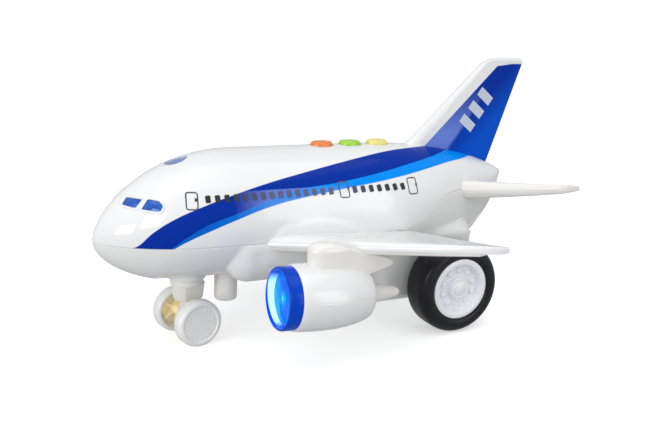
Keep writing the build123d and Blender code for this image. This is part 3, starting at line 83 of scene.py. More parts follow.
def corners(node):
    """Lowest and highest corner of a node, in millimetres."""
    low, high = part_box(node)
    return np.array(low) / MM, np.array(high) / MM


# %% [markdown]
# ## Small tools
#
# A moulded part is a skin of points in rows. These helpers turn rows of points into a closed
# mesh that sits at the origin, hand it to a body, and finish its edges. Modifiers are applied
# at once, so that what is measured is what is rendered.

# %% Meshes from points
SIDES = ((1, "left"), (-1, "right"))


def new_object(name, points, faces, smooth=True):
    """Mesh object at the origin from points in millimetres."""
    mesh = bpy.data.meshes.new(name)
    mesh.from_pydata((np.asarray(points, float) * MM).tolist(), [], [list(map(int, f)) for f in faces])
    mesh.update()
    obj = bpy.data.objects.new(name, mesh)
    bpy.context.scene.collection.objects.link(obj)
    if smooth:
        mesh.polygons.foreach_set("use_smooth", [True] * len(mesh.polygons))
    return obj


def tidy_normals(obj, merge=0.002):
    """Merge doubles (distance in millimetres) and turn every face outwards."""
    work = bmesh.new()
    work.from_mesh(obj.data)
    bmesh.ops.remove_doubles(work, verts=work.verts, dist=merge * MM)
    bmesh.ops.dissolve_degenerate(work, edges=work.edges, dist=merge * MM)
    bmesh.ops.recalc_face_normals(work, faces=work.faces)
    work.to_mesh(obj.data)
    work.free()
    return obj


def skin_faces(rows, columns, closed=False, start=0):
    """Quads between rows of points; closed joins the last column to the first."""
    faces = []
    last = columns if closed else columns - 1
    for i in range(rows - 1):
        for j in range(last):
            k = (j + 1) % columns
            faces.append((start + i * columns + j, start + i * columns + k,
                          start + (i + 1) * columns + k, start + (i + 1) * columns + j))
    return faces


def tube(name, rings, cap_start=True, cap_end=True):
    """Closed skin through rings of points, with a fan at each end."""
    rings = np.asarray(rings, float)
    rows, columns = rings.shape[:2]
    points = rings.reshape(-1, 3)
    faces = skin_faces(rows, columns, closed=True)
    if cap_start:
        faces += [(j, (j + 1) % columns, len(points)) for j in range(columns)]
        points = np.vstack([points, rings[0].mean(axis=0)])
    if cap_end:
        first = (rows - 1) * columns
        faces += [(first + j, first + (j + 1) % columns, len(points)) for j in range(columns)]
        points = np.vstack([points, rings[-1].mean(axis=0)])
    return tidy_normals(new_object(name, points, faces))


def apply_modifiers(obj):
    """Bake the modifiers into the mesh."""
    graph = bpy.context.evaluated_depsgraph_get()
    done = bpy.data.meshes.new_from_object(obj.evaluated_get(graph))
    obj.modifiers.clear()
    old = obj.data
    obj.data = done
    bpy.data.meshes.remove(old)
    return obj


def soften(obj, width, segments=2, angle=40.0):
    """Round every edge sharper than the angle."""
    bevel = obj.modifiers.new("edges", "BEVEL")
    bevel.width = width * MM
    bevel.segments = segments
    bevel.limit_method = "ANGLE"
    bevel.angle_limit = math.radians(angle)
    bevel.harden_normals = False
    return apply_modifiers(obj)


def thicken(obj, wall):
    """Give an open skin a wall on its inner side."""
    solid = obj.modifiers.new("wall", "SOLIDIFY")
    solid.thickness = wall * MM
    solid.offset = -1.0
    solid.use_even_offset = False
    return apply_modifiers(obj)


def carve(obj, cutter, operation="DIFFERENCE"):
    """Exact boolean with a cutter that is then thrown away."""
    cut = obj.modifiers.new("cut", "BOOLEAN")
    cut.operation = operation
    cut.solver = "EXACT"
    cut.object = cutter
    apply_modifiers(obj)
    mesh = cutter.data
    bpy.data.objects.remove(cutter)
    bpy.data.meshes.remove(mesh)
    return obj


def crease(obj, angle=38.0):
    """Smooth faces that keep hard edges where the surface turns sharply."""
    mesh = obj.data
    mesh.polygons.foreach_set("use_smooth", [True] * len(mesh.polygons))
    mesh.set_sharp_from_angle(angle=math.radians(angle))
    return obj

# %% [markdown]
# Each finished mesh is named, given its material and body, and takes the place of its CAD node.

# %% Handing pieces to the frame
def finish_piece(obj, material, body="airframe", stands_for=()):
    """Material, body and the nodes that the piece stands for."""
    obj.data.materials.clear()
    obj.data.materials.append(material)
    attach(obj, body)
    if stands_for:
        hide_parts(*stands_for)
    print(f"{obj.name}: {len(obj.data.polygons)} faces on {body}")
    return obj


# %% [markdown]
# ## Node materials
#
# Toy plastic is never one flat colour. Each finish is a Principled surface whose colour
# drifts a little, whose roughness is broken by handling marks and whose normal carries the
# faint ripple that a mould leaves. The patterns read Object coordinates, so they stay put
# when the piece moves.

# %% Building blocks for the materials
class Recipe:
    """A material under construction, with short ways to add nodes."""

    def __init__(self, name):
        self.material = bpy.data.materials.new(name)
        self.material.use_nodes = True
        self.nodes = self.material.node_tree.nodes
        self.links = self.material.node_tree.links
        self.nodes.clear()
        self.out = self.nodes.new("ShaderNodeOutputMaterial")
        self.shader = self.nodes.new("ShaderNodeBsdfPrincipled")
        self.links.new(self.shader.outputs["BSDF"], self.out.inputs["Surface"])
        self.where = self.nodes.new("ShaderNodeTexCoord").outputs["Object"]

    def put(self, socket, value):
        if hasattr(value, "is_output"):
            self.links.new(value, socket)
        else:
            socket.default_value = value

    def set(self, **values):
        for name, value in values.items():
            self.put(self.shader.inputs[name.replace("_", " ")], value)
        return self

    def math(self, operation, *values, clamp=False):
        node = self.nodes.new("ShaderNodeMath")
        node.operation = operation
        node.use_clamp = clamp
        for socket, value in zip(node.inputs, values):
            self.put(socket, value)
        return node.outputs[0]

    def mix(self, factor, first, second):
        node = self.nodes.new("ShaderNodeMix")
        node.data_type = "RGBA"
        self.put(node.inputs["Factor"], factor)
        self.put(node.inputs[6], first)
        self.put(node.inputs[7], second)
        return node.outputs[2]

    def blend(self, factor, first, second):
        node = self.nodes.new("ShaderNodeMix")
        self.put(node.inputs["Factor"], factor)
        self.put(node.inputs[2], first)
        self.put(node.inputs[3], second)
        return node.outputs[0]

    def noise(self, scale, detail=3.0, roughness=0.5, stretch=None):
        node = self.nodes.new("ShaderNodeTexNoise")
        node.inputs["Scale"].default_value = scale
        node.inputs["Detail"].default_value = detail
        node.inputs["Roughness"].default_value = roughness
        place = self.where
        if stretch:
            mapping = self.nodes.new("ShaderNodeMapping")
            mapping.inputs["Scale"].default_value = stretch
            self.links.new(self.where, mapping.inputs["Vector"])
            place = mapping.outputs["Vector"]
        self.links.new(place, node.inputs["Vector"])
        return node.outputs["Fac"]

    def ramp(self, factor, low, high, start=0.0, end=1.0):
        node = self.nodes.new("ShaderNodeMapRange")
        node.clamp = True
        self.put(node.inputs["Value"], factor)
        for name, value in zip(("From Min", "From Max", "To Min", "To Max"), (low, high, start, end)):
            node.inputs[name].default_value = value
        return node.outputs["Result"]

    def bump(self, height, strength, distance):
        node = self.nodes.new("ShaderNodeBump")
        node.inputs["Strength"].default_value = strength
        node.inputs["Distance"].default_value = distance
        self.links.new(height, node.inputs["Height"])
        self.links.new(node.outputs["Normal"], self.shader.inputs["Normal"])
        return self

    def axes(self):
        node = self.nodes.new("ShaderNodeSeparateXYZ")
        self.links.new(self.where, node.inputs[0])
        return node.outputs

    def station(self):
        """Distance back from the nose tip, in millimetres."""
        return self.math("MULTIPLY_ADD", self.axes()[0], -1000.0, float(NOSE_X))

    def height(self):
        """Height over the ground, in millimetres."""
        return self.math("MULTIPLY", self.axes()[2], 1000.0)

    def from_axle(self, axle):
        """Distance from an axle along Y, in metres; the axle is its X and height in millimetres."""
        x, _, z = self.axes()
        squares = [self.math("POWER", self.math("SUBTRACT", socket, place * MM), 2.0)
                   for socket, place in zip((x, z), axle)]
        return self.math("POWER", self.math("ADD", *squares), 0.5)

    def print_over(self, mask, colour):
        """Lay a colour over the plastic's own where the mask is 1."""
        base = self.shader.inputs["Base Color"]
        self.put(base, self.mix(mask, base.links[0].from_socket, colour))

    def curve(self, value, points, low, high, floor, ceiling):
        """A drawn curve: points are (input, output) within low..high and floor..ceiling."""
        node = self.nodes.new("ShaderNodeFloatCurve")
        line = node.mapping.curves[0]
        spots = [((a - low) / (high - low), (b - floor) / (ceiling - floor)) for a, b in points]
        line.points[0].location = spots[0]
        line.points[-1].location = spots[-1]
        for spot in spots[1:-1]:
            line.points.new(*spot)
        node.mapping.update()
        self.put(node.inputs["Value"], self.ramp(value, low, high))
        return self.ramp(node.outputs["Value"], 0.0, 1.0, floor, ceiling)


def tint(colour, amount):
    return (*[min(c * amount, 1.0) for c in colour[:3]], 1.0)


def moulded(name, colour, rough=0.16, coat=0.35, ripple=0.05, drift=0.03, warm=None):
    """Gloss plastic as it leaves the mould, with handling marks."""
    r = Recipe(name)
    cloud = r.noise(38.0, 4.0)
    base = r.mix(r.ramp(cloud, 0.35, 0.65), tint(colour, 1.0 - drift), tint(warm or colour, 1.0))
    smear = r.noise(160.0, 5.0, 0.6)
    fine = r.noise(1400.0, 2.0)
    r.set(Base_Color=base, Roughness=r.ramp(smear, 0.3, 0.75, rough * 0.8, rough * 1.5),
          Coat_Weight=coat, Coat_Roughness=0.06, Specular_IOR_Level=0.5)
    r.shader.inputs["Subsurface Weight"].default_value = 0.04
    r.shader.inputs["Subsurface Radius"].default_value = (0.003, 0.0028, 0.0025)
    r.bump(r.math("ADD", r.math("MULTIPLY", smear, 0.7), r.math("MULTIPLY", fine, 0.3)), ripple, 0.0006)
    return r

# %% [markdown]
# The plastics differ in colour, gloss and how clear they are; rubber and metal have recipes of
# their own.

# %% Plastics, rubber and metal
WHITE = (0.86, 0.865, 0.865)
SHADE = (0.83, 0.832, 0.825)
CREAM = (0.86, 0.845, 0.80)
DARK_BLUE = (0.0, 0.030, 0.35)
LIGHT_BLUE = (0.0, 0.27, 0.93)

# painted shade: the lower shell's white is a little darker than the upper shell's, as shade on the
# underside
lower_white = moulded("lower_shell_plastic", SHADE).material
cream_plastic = moulded("warm_white_plastic", CREAM, warm=(0.87, 0.86, 0.83)).material
nacelle_white = moulded("nacelle_plastic", WHITE, ripple=0.015).material

# %% [markdown]
# ## The two body shells
#
# The body is a cabin with oval sections, a wing box and a wheel housing under it, and an
# arched pad above each wing root. Written as distance fields, these forms melt into one
# another with small moulded fillets. Each shell is a fan of rays from the seam's own height:
# the upper shell takes the upper half turn and the lower shell the other one, so both rims
# follow the seam exactly, also where it climbs towards the tail.

# %% The body as distance fields
CABIN_HALF = 29.3
CABIN_TOP = 93.6
BELLY = 30.2
TIP_Z = 53.0
WAIST_Z = 61.8
TAIL_S = 228.0
TAIL_Z = 74.6
SEAM = ((-5.0, 52.8), (150.0, 52.8), (154.0, 52.9), (160.0, 54.9), (166.0, 59.6), (171.0, 65.2),
        (176.0, 68.4), (184.0, 70.2), (205.0, 71.2), (228.4, 74.9))
ARCH = ((60.0, 20.0), (75.0, 49.8), (78.0, 55.6), (82.0, 59.6), (89.0, 61.8), (97.0, 62.5), (106.0, 61.9),
        (116.0, 59.7), (130.0, 55.2), (146.0, 49.8), (165.0, 40.0))


def smooth_curve(knots, x):
    """Monotone cubic through (x, value) knots."""
    k, v = np.array(knots, float).T
    step = np.diff(k)
    rate = np.diff(v) / step
    product = rate[:-1] * rate[1:]
    inner = np.where(product > 0, 2 * product / np.where(product > 0, rate[:-1] + rate[1:], 1.0), 0.0)
    slope = np.concatenate([[rate[0]], inner, [rate[-1]]])
    x = np.clip(x, k[0], k[-1])
    i = np.clip(np.searchsorted(k, x) - 1, 0, len(step) - 1)
    t = (x - k[i]) / step[i]
    return ((2 * t**3 - 3 * t**2 + 1) * v[i] + (t**3 - 2 * t**2 + t) * step[i] * slope[i]
            + (3 * t**2 - 2 * t**3) * v[i + 1] + (t**3 - t**2) * step[i] * slope[i + 1])


def ease(s, run, power):
    t = np.clip(s / run, 0.0, 1.0)
    return (1.0 - (1.0 - t) ** 2) ** power


def tail_part(s):
    return np.clip((s - 132.0) / (TAIL_S - 132.0), 0.0, 1.0)


def tail_end(s):
    """Rounds the tail cone off over its last millimetres."""
    return np.sqrt(np.clip(1.0 - np.clip((s - 223.0) / 5.6, 0.0, 1.0) ** 2, 0.0, 1.0))


def half_width(s):
    return CABIN_HALF * ease(s, 56.0, 0.66) * (1.0 - 0.93 * tail_part(s) ** 2.1) * tail_end(s)


def waist(s):
    return TIP_Z + (WAIST_Z - TIP_Z) * ease(s, 66.0, 0.9) + (TAIL_Z - WAIST_Z) * tail_part(s) ** 1.7


def roof(s):
    full = TIP_Z + (CABIN_TOP - TIP_Z) * ease(s, 66.0, 0.64)
    full = full - (CABIN_TOP - TAIL_Z - 2.0) * tail_part(s) ** 2.6
    return waist(s) + (full - waist(s)) * tail_end(s)


def belly(s):
    full = TIP_Z - (TIP_Z - BELLY) * ease(s, 50.0, 0.53) + (TAIL_Z - BELLY - 2.0) * tail_part(s) ** 4.2
    hollow_painted_glow = 2.0 * ease(s - 26.0, 20.0, 1.0) * (1.0 - ease(s - 62.0, 12.0, 1.0))
    return waist(s) + (full + hollow_painted_glow - waist(s)) * tail_end(s)


def seam_height(s):
    return smooth_curve(SEAM, s)


def smooth_union(a, b, radius):
    h = np.clip(0.5 + 0.5 * (b - a) / radius, 0.0, 1.0)
    return b + (a - b) * h - radius * h * (1.0 - h)


def cabin_distance(s, y, z):
    """About the distance to the cabin's skin; its underside grows squarer towards the tail."""
    centre = waist(s)
    up = z > centre
    height = np.maximum(np.where(up, roof(s) - centre, centre - belly(s)), 1e-3)
    wide = np.maximum(half_width(s), 1e-3)
    power = np.where(up, 2.0, 2.0 + 1.3 * np.clip((s - 150.0) / 50.0, 0.0, 1.0))
    reach = ((np.abs(y) / wide) ** power + (np.abs(z - centre) / height) ** power) ** (1.0 / power)
    far = np.maximum(np.hypot(y, z - centre), 1e-6)
    return far - far / np.maximum(reach, 1e-6)


def block_distance(s, y, z, front, rear, half, bottom, upper, corner):
    """Distance to a block with rounded edges."""
    q = np.stack(np.broadcast_arrays(
        np.abs(s - (front + rear) / 2) - (rear - front) / 2 + corner,
        np.abs(y) - half + corner,
        np.abs(z - (bottom + upper) / 2) - (upper - bottom) / 2 + corner))
    return np.linalg.norm(np.maximum(q, 0.0), axis=0) + np.minimum(q.max(axis=0), 0.0) - corner


def pad_distance(s, y, z):
    """Arched pad over the wing root, flush with the wing box below."""
    side = np.abs(y) - np.interp(z, (49.5, 52.5), (29.2, 30.2))
    over = (z - smooth_curve(ARCH, s)) * 0.85
    under = 42.0 - z
    return -smooth_union(-np.maximum(over, under), -side, 1.6)


def body_distance(s, y, z):
    wing_box = block_distance(s, y, z, 57.0, 147.0, 29.2, 32.2, 60.0, 11.0)
    housing = block_distance(s, y, z, 136.0, 195.0, 25.0, 13.5, 52.0, 5.0)
    return smooth_union(smooth_union(smooth_union(cabin_distance(s, y, z), wing_box, 0.8),
                                     pad_distance(s, y, z), 1.2), housing, 2.0)


def stations(knots):
    """Stations from (start, step) knots, ending at the last start."""
    spots = []
    for (start, step), (stop, _) in zip(knots, knots[1:]):
        count = max(int(round((stop - start) / step)), 1)
        spots += [start + (stop - start) * i / count for i in range(count)]
    return np.array(spots + [knots[-1][0]])


SHELL_WALL, GROOVE, EDGE, EDGE_ANGLE = 1.6, 0.45, 0.22, 42.0


def seam_angles(start, stop, count):
    """Even angles with a close pair at both ends, where the edge turns in to the seam."""
    return np.radians(np.concatenate([[start, start + 0.45], np.linspace(start + 1.9, stop - 1.9, count),
                                      [stop - 0.45, stop]]))


def shell_skin(name, spots, angles):
    """Skin of one shell: along each ray from the seam's height, the outermost crossing.

    The outermost rays stop short, so that the seam is a fine groove.
    """
    s = spots[:, None]
    angle = angles[None, :]
    centre = seam_height(s)
    reach = np.arange(0.4, 68.0, 0.4)
    r = reach[:, None, None]
    inside = body_distance(s[None], r * np.cos(angle)[None], centre[None] + r * np.sin(angle)[None]) < 0.0
    last = len(reach) - 1 - np.argmax(inside[::-1], axis=0)
    low = np.where(inside.any(axis=0), reach[last], 0.0)
    high = low + 0.4
    for _ in range(14):
        half = (low + high) / 2
        within = body_distance(s, half * np.cos(angle), centre + half * np.sin(angle)) < 0.0
        low = np.where(within, half, low)
        high = np.where(within, high, half)
    low[:, [0, -1]] = np.maximum(low[:, [0, -1]] - GROOVE, 0.2)
    points = np.stack(np.broadcast_arrays(NOSE_X - s, low * np.cos(angle), centre + low * np.sin(angle)),
                      axis=-1)
    rows, columns = low.shape
    flat = points.reshape(-1, 3)
    faces = skin_faces(rows, columns)
    nose = len(flat)
    faces += [(j, j + 1, nose) for j in range(columns - 1)]
    back = (rows - 1) * columns
    faces += [(back + j, back + j + 1, nose + 1) for j in range(columns - 1)]
    flat = np.vstack([flat, [[NOSE_X, 0, float(seam_height(0.0))],
                             [NOSE_X - spots[-1] - 0.1, 0, float(seam_height(spots[-1]))]]])
    skin = new_object(name, flat, faces)
    work = bmesh.new()
    work.from_mesh(skin.data)
    bmesh.ops.recalc_face_normals(work, faces=work.faces)
    outward = sum(f.normal.dot(f.calc_center_median() - Vector((0, 0, 0.06))) for f in work.faces)
    if outward < 0:
        bmesh.ops.reverse_faces(work, faces=work.faces)
    work.to_mesh(skin.data)
    work.free()
    return skin


UPPER_SPOTS = stations(((0.15, 0.5), (3.0, 1.2), (12.0, 2.0), (60.0, 3.0), (72.0, 1.0), (90.0, 3.0),
                        (130.0, 2.2), (150.0, 1.3), (180.0, 2.5), (216.0, 1.5), (223.0, 0.6), (228.4, 1.0)))
LOWER_SPOTS = stations(((0.15, 0.5), (3.0, 1.2), (12.0, 2.5), (54.0, 1.0), (57.0, 0.35), (60.0, 1.0),
                        (68.0, 2.5), (134.0, 0.5), (136.0, 0.12), (137.0, 0.4), (141.0, 2.0), (150.0, 1.5),
                        (190.0, 0.5), (193.5, 0.2), (195.2, 0.5), (198.0, 1.6), (223.0, 0.6), (228.4, 1.0)))
print("stations:", len(UPPER_SPOTS), len(LOWER_SPOTS))

# %% [markdown]
# ## Finding places on the skin
#
# Windows, doors and bezels lie on the curved cabin. A place there is a station and a height;
# these helpers look up the width of the body at that place and the direction that the skin
# faces, so a flat outline can be laid on the surface, lifted a little or sunk a little.

# %% Places on the skin
def side_y(s, z):
    """Half width of the body at a station and a height."""
    s, z = np.broadcast_arrays(np.asarray(s, float), np.asarray(z, float))
    low, high = np.zeros(s.shape), np.full(s.shape, 40.0)
    for _ in range(26):
        half = (low + high) / 2
        within = body_distance(s, half, z) < 0.0
        low, high = np.where(within, half, low), np.where(within, high, half)
    return low


def skin_facing(s, y, z):
    """Outward direction at points of the skin, with +X forward."""
    d = 0.05
    slope = np.stack([-(body_distance(s + d, y, z) - body_distance(s - d, y, z)),
                      body_distance(s, y + d, z) - body_distance(s, y - d, z),
                      body_distance(s, y, z + d) - body_distance(s, y, z - d)], axis=-1)
    return slope / np.linalg.norm(slope, axis=-1, keepdims=True)


def on_skin(s, z, lift=0.0, side=1):
    """Points at stations and heights, lifted off the skin on one side of the cabin."""
    s, z = np.broadcast_arrays(np.asarray(s, float), np.asarray(z, float))
    y = side_y(s, z)
    out = skin_facing(s, y, z) * np.asarray(lift, float)[..., None]
    points = np.stack([NOSE_X - s, y, z], axis=-1) + out
    return points * (1, side, 1)


def rounded_outline(corners_sz, radius, steps=5):
    """Closed outline in station and height with its corners rounded."""
    pts = np.array(corners_sz, float)
    out = []
    for before, here, after in zip(np.roll(pts, 1, 0), pts, np.roll(pts, -1, 0)):
        a, b = before - here, after - here
        reach = min(radius, 0.45 * np.linalg.norm(a), 0.45 * np.linalg.norm(b))
        start, end = here + a / np.linalg.norm(a) * reach, here + b / np.linalg.norm(b) * reach
        for t in np.linspace(0, 1, steps):
            out.append((1 - t) ** 2 * start + 2 * t * (1 - t) * here + t**2 * end)
    return np.array(out)


def finer(outline, step=0.9):
    """Outline with extra points, so that long sides can bend with the skin."""
    out = []
    for a, b in zip(outline, np.roll(outline, -1, 0)):
        count = max(int(np.ceil(np.linalg.norm(b - a) / step)), 1)
        out += [a + (b - a) * k / count for k in range(count)]
    return np.array(out)


def grown(outline, amount):
    """Outline moved outwards in its own plane."""
    ahead = np.roll(outline, -1, 0) - np.roll(outline, 1, 0)
    normal = np.stack([ahead[:, 1], -ahead[:, 0]], axis=1)
    normal /= np.maximum(np.linalg.norm(normal, axis=1, keepdims=True), 1e-9)
    x, y = outline.T
    turn = np.sum(x * np.roll(y, -1) - np.roll(x, -1) * y)
    return outline + normal * amount * (1 if turn > 0 else -1)


def plate(name, outline, lift, depth, side=1, crown=0.0):
    """Closed thin plate laid on the skin: top at lift, underside at lift - depth."""
    centre = outline.mean(axis=0)
    shares = (1.0, 0.72, 0.42, 0.16)
    rings = [centre + (outline - centre) * share for share in shares]
    tops = [on_skin(*ring.T, lift + crown * (1 - share**2), side) for ring, share in zip(rings, shares)]
    unders = [on_skin(*ring.T, lift - depth, side) for ring in rings]
    return tube(name, tops[::-1] + unders)


def frame_ring(name, outline, width, lift, depth, side=1, soft=0.35):
    """Closed ring that follows an outline on the skin, with a rounded upper face."""
    half = width / 2
    section = ((-half, -depth), (-half, lift * (1 - soft)), (-half * 0.55, lift), (half * 0.55, lift),
               (half, lift * (1 - soft)), (half, -depth))
    rings = [on_skin(*grown(outline, offset).T, height, side) for offset, height in section]
    points = np.array(rings)
    rows, columns = points.shape[:2]
    faces = skin_faces(rows, columns, closed=True)
    faces += [((rows - 1) * columns + j, (rows - 1) * columns + (j + 1) % columns, (j + 1) % columns, j)
              for j in range(columns)]
    return tidy_normals(new_object(name, points.reshape(-1, 3), faces))


def join(name, objects):
    """One object from several."""
    target = objects[0]
    for other in objects[1:]:
        other.data.materials.clear()
    with bpy.context.temp_override(active_object=target, object=target, selected_objects=objects,
                                   selected_editable_objects=objects):
        bpy.ops.object.join()
    target.name = name
    target.data.name = name
    return target


def prism(name, outline, low, high):
    """Closed prism on a closed XY outline between two heights, all in millimetres."""
    base = np.array(outline, float)
    rings = [np.column_stack([base, np.full(len(base), z)]) for z in (low, high)]
    return tube(name, rings)


def stadium(x, length, width, steps=12):
    """Slot outline along X, centred at x."""
    half = (length - width) / 2
    turns = np.linspace(-math.pi / 2, math.pi / 2, steps)
    front = [(x + half + width / 2 * math.cos(t), width / 2 * math.sin(t)) for t in turns]
    back = [(x - half - width / 2 * math.cos(t), -width / 2 * math.sin(t)) for t in turns]
    return front + back


def lathe(name, profile, centre, axis="x", steps=96, closed=False):
    """Solid of revolution. The profile is (along, radius) pairs; along runs aft for x."""
    turn = np.linspace(0, 2 * math.pi, steps, endpoint=False)
    rings = []
    for along, radius in profile:
        radius = max(radius, 1e-4)
        if axis == "x":
            ring = np.column_stack([np.full(steps, NOSE_X - along), centre[0] + radius * np.cos(turn),
                                    centre[1] + radius * np.sin(turn)])
        elif axis == "y":
            ring = np.column_stack([centre[0] + radius * np.cos(turn), np.full(steps, along),
                                    centre[1] + radius * np.sin(turn)])
        else:
            ring = np.column_stack([centre[0] + radius * np.cos(turn), centre[1] + radius * np.sin(turn),
                                    np.full(steps, along)])
        rings.append(ring)
    if closed:
        points = np.array(rings + rings[:1]).reshape(-1, 3)
        faces = skin_faces(len(rings) + 1, steps, closed=True)
        return tidy_normals(new_object(name, points, faces))
    return tube(name, rings)


# %% [markdown]
# ## Printed trim on the cabin
#
# The blue sweep starts at the seam under the nose, climbs past the windows and runs in under
# the fin. Its three edges are drawn as curves of the angle round the cabin against the
# station, so the print is one piece with the shell's material and stays perfectly sharp. A
# paler patch over the middle of the sweep is a painted reflection: a light box's glare on the film.

# %% The upper shell's material
SWEEP_TOP = ((8.0, -40.0), (12.0, -33.0), (15.3, -26.2), (23.8, -0.9), (32.3, 11.7), (41.2, 19.0),
             (61.4, 30.7), (78.5, 39.2), (98.0, 47.6), (125.2, 59.4), (147.8, 69.5), (162.5, 76.0),
             (174.0, 84.0), (182.0, 93.0))
SWEEP_MIDDLE = ((24.0, -36.0), (30.0, -20.0), (38.5, -4.5), (47.5, 5.2), (60.4, 12.9), (75.4, 22.6),
                (93.6, 31.0), (111.3, 34.6), (135.7, 42.0), (155.0, 51.0), (170.5, 61.0), (185.0, 77.0),
                (193.0, 92.0))
SWEEP_BASE = ((24.0, -37.0), (30.9, -20.4), (38.5, -9.5), (47.4, -1.3), (60.2, 7.6), (77.3, 17.3),
              (95.3, 23.5), (112.0, 27.9), (140.6, 35.1), (160.3, 43.0), (180.2, 55.5), (195.0, 68.0),
              (205.0, 85.0), (208.0, 92.0))


def cabin_print():
    """White shell plastic with the printed sweep."""
    r = moulded("upper_shell_plastic", WHITE, rough=0.13, coat=0.5)
    station, height = r.station(), r.height()
    rise = r.math("SUBTRACT", height, WAIST_Z)
    wide = r.math("MULTIPLY", r.math("ABSOLUTE", r.axes()[1]), 1000.0)
    angle = r.math("MULTIPLY", r.math("ARCTAN2", rise, wide), 180.0 / math.pi)

    def above(knots, soft=0.25):
        edge = r.curve(station, knots, 0.0, 240.0, -40.0, 100.0)
        return r.ramp(r.math("SUBTRACT", angle, edge), -soft, soft)

    over_base, over_middle, over_top = above(SWEEP_BASE), above(SWEEP_MIDDLE), above(SWEEP_TOP)
    end = r.ramp(station, 205.5, 206.5, 1.0, 0.0)
    sweep = r.math("MULTIPLY", r.math("MULTIPLY", over_base, r.math("SUBTRACT", 1.0, over_top)), end)
    # painted reflection: a paler patch over the middle of the sweep, where a light box's glare lies on the
    # glossy film
    painted_reflection = r.math("MULTIPLY", r.ramp(station, 58.0, 76.0), r.ramp(station, 124.0, 104.0))
    painted_reflection = r.math("MULTIPLY", painted_reflection, r.ramp(height, 77.7, 77.3))
    speck = r.ramp(r.noise(900.0, 2.0), 0.3, 0.7, 0.92, 1.08)
    dark = r.mix(r.math("MULTIPLY", painted_reflection, 0.9), (*DARK_BLUE, 1.0), (0.16, 0.22, 0.67, 1.0))
    front_light = r.mix(r.ramp(station, 45.0, 100.0), (0.0, 0.13, 0.62, 1.0), (*LIGHT_BLUE, 1.0))
    light = r.mix(r.math("MULTIPLY", painted_reflection, 0.45), front_light, (0.12, 0.30, 0.84, 1.0))
    blue = r.mix(over_middle, light, dark)
    scaled = r.nodes.new("ShaderNodeVectorMath")
    scaled.operation = "SCALE"
    r.links.new(blue, scaled.inputs[0])
    r.links.new(speck, scaled.inputs["Scale"])
    r.print_over(sweep, scaled.outputs[0])
    rough = r.shader.inputs["Roughness"].links[0].from_socket
    r.set(Roughness=r.blend(sweep, rough, 0.10), Coat_Weight=r.blend(sweep, 0.8, 0.05),
          Specular_IOR_Level=0.08)
    return r.material


shell_print = cabin_print()

# %% [markdown]
# ### Upper shell
#
# The skin gets a 1.6 mm wall, then one cutter opens the button slots, the lamp seat and the
# cockpit windows in a single exact boolean. The rim turns in by half a millimetre, so that the
# seam reads as a fine dark groove, and a small bevel rounds every cut edge.

# %% Upper shell
BUTTON_NODES = ("button_front", "button_middle", "button_rear")
LENS_S, LENS_Z, LENS_R, LENS_TILT = 39.0, 88.4, 5.8, math.radians(19.0)
WINDOW_FRONT = ((11.9, 70.9), (14.3, 73.8), (15.4, 74.1), (20.1, 74.0), (16.7, 70.2))
WINDOW_SIDE = ((18.6, 70.0), (21.9, 74.4), (26.0, 73.9), (27.5, 71.9), (26.0, 69.4))
WINDOWS = [rounded_outline(w, 0.8) for w in (WINDOW_FRONT, WINDOW_SIDE)]


def side_prism(name, outline, near, far, side):
    """Cutter across the cabin side over an outline in station and height."""
    rings = [np.column_stack([NOSE_X - outline[:, 0], np.full(len(outline), side * y), outline[:, 1]])
             for y in (near, far)]
    return tube(name, rings)


def lens_point(across, along, lift):
    """Point on the roof lamp's own plane: across is Y, along runs aft down the slope."""
    c, s = math.cos(LENS_TILT), math.sin(LENS_TILT)
    return (NOSE_X - LENS_S - along * c + lift * s, across, LENS_Z + along * s + lift * c)


def lens_disc(name, rings):
    """Round piece on the lamp's axis through (radius, lift) rings."""
    turn = np.linspace(0, 2 * math.pi, 72, endpoint=False)
    return tube(name, [[lens_point(r * math.cos(t), r * math.sin(t), lift) for t in turn]
                       for r, lift in rings])


upper_body = thicken(shell_skin("upper_body", UPPER_SPOTS, seam_angles(0, 180, 95)), SHELL_WALL)
cutters = []
for node in BUTTON_NODES:
    low, high = corners(node)
    x = (low[0] + high[0]) / 2
    cutters.append(prism("slot_cutter", stadium(x, 12.3, 9.7), 87.0, 99.0))
cutters.append(lens_disc("lens_cutter", ((LENS_R, -5.0), (LENS_R, 5.0))))
for side, _ in SIDES:
    for outline in WINDOWS:
        cutters.append(side_prism("window_cutter", outline, 2.0, 34.0, side))
carve(upper_body, join("openings", cutters))
soften(upper_body, EDGE, 2, EDGE_ANGLE)
crease(upper_body)
finish_piece(upper_body, shell_print, stands_for=["upper_shell"])

# %% [markdown]
# ### Lower shell
#
# The belly, wing box and wheel housing are one moulding. Its white is a little darker and warmer
# than the upper shell's, the darker tone being painted shade for the underside. The battery door's
# opening is cut out here and the door itself is made from the same skin, so both follow the belly.
# A bead runs along the lower edge of the tail where the mould parts.

# %% Lower shell and battery door
door_low, door_high = corners("battery_door")
GAP = 0.35


def box_outline(low, high, grow=0.0, corner=2.0):
    a, b = low[:2] - grow, high[:2] + grow
    return rounded_outline(((a[0], a[1]), (b[0], a[1]), (b[0], b[1]), (a[0], b[1])), corner)


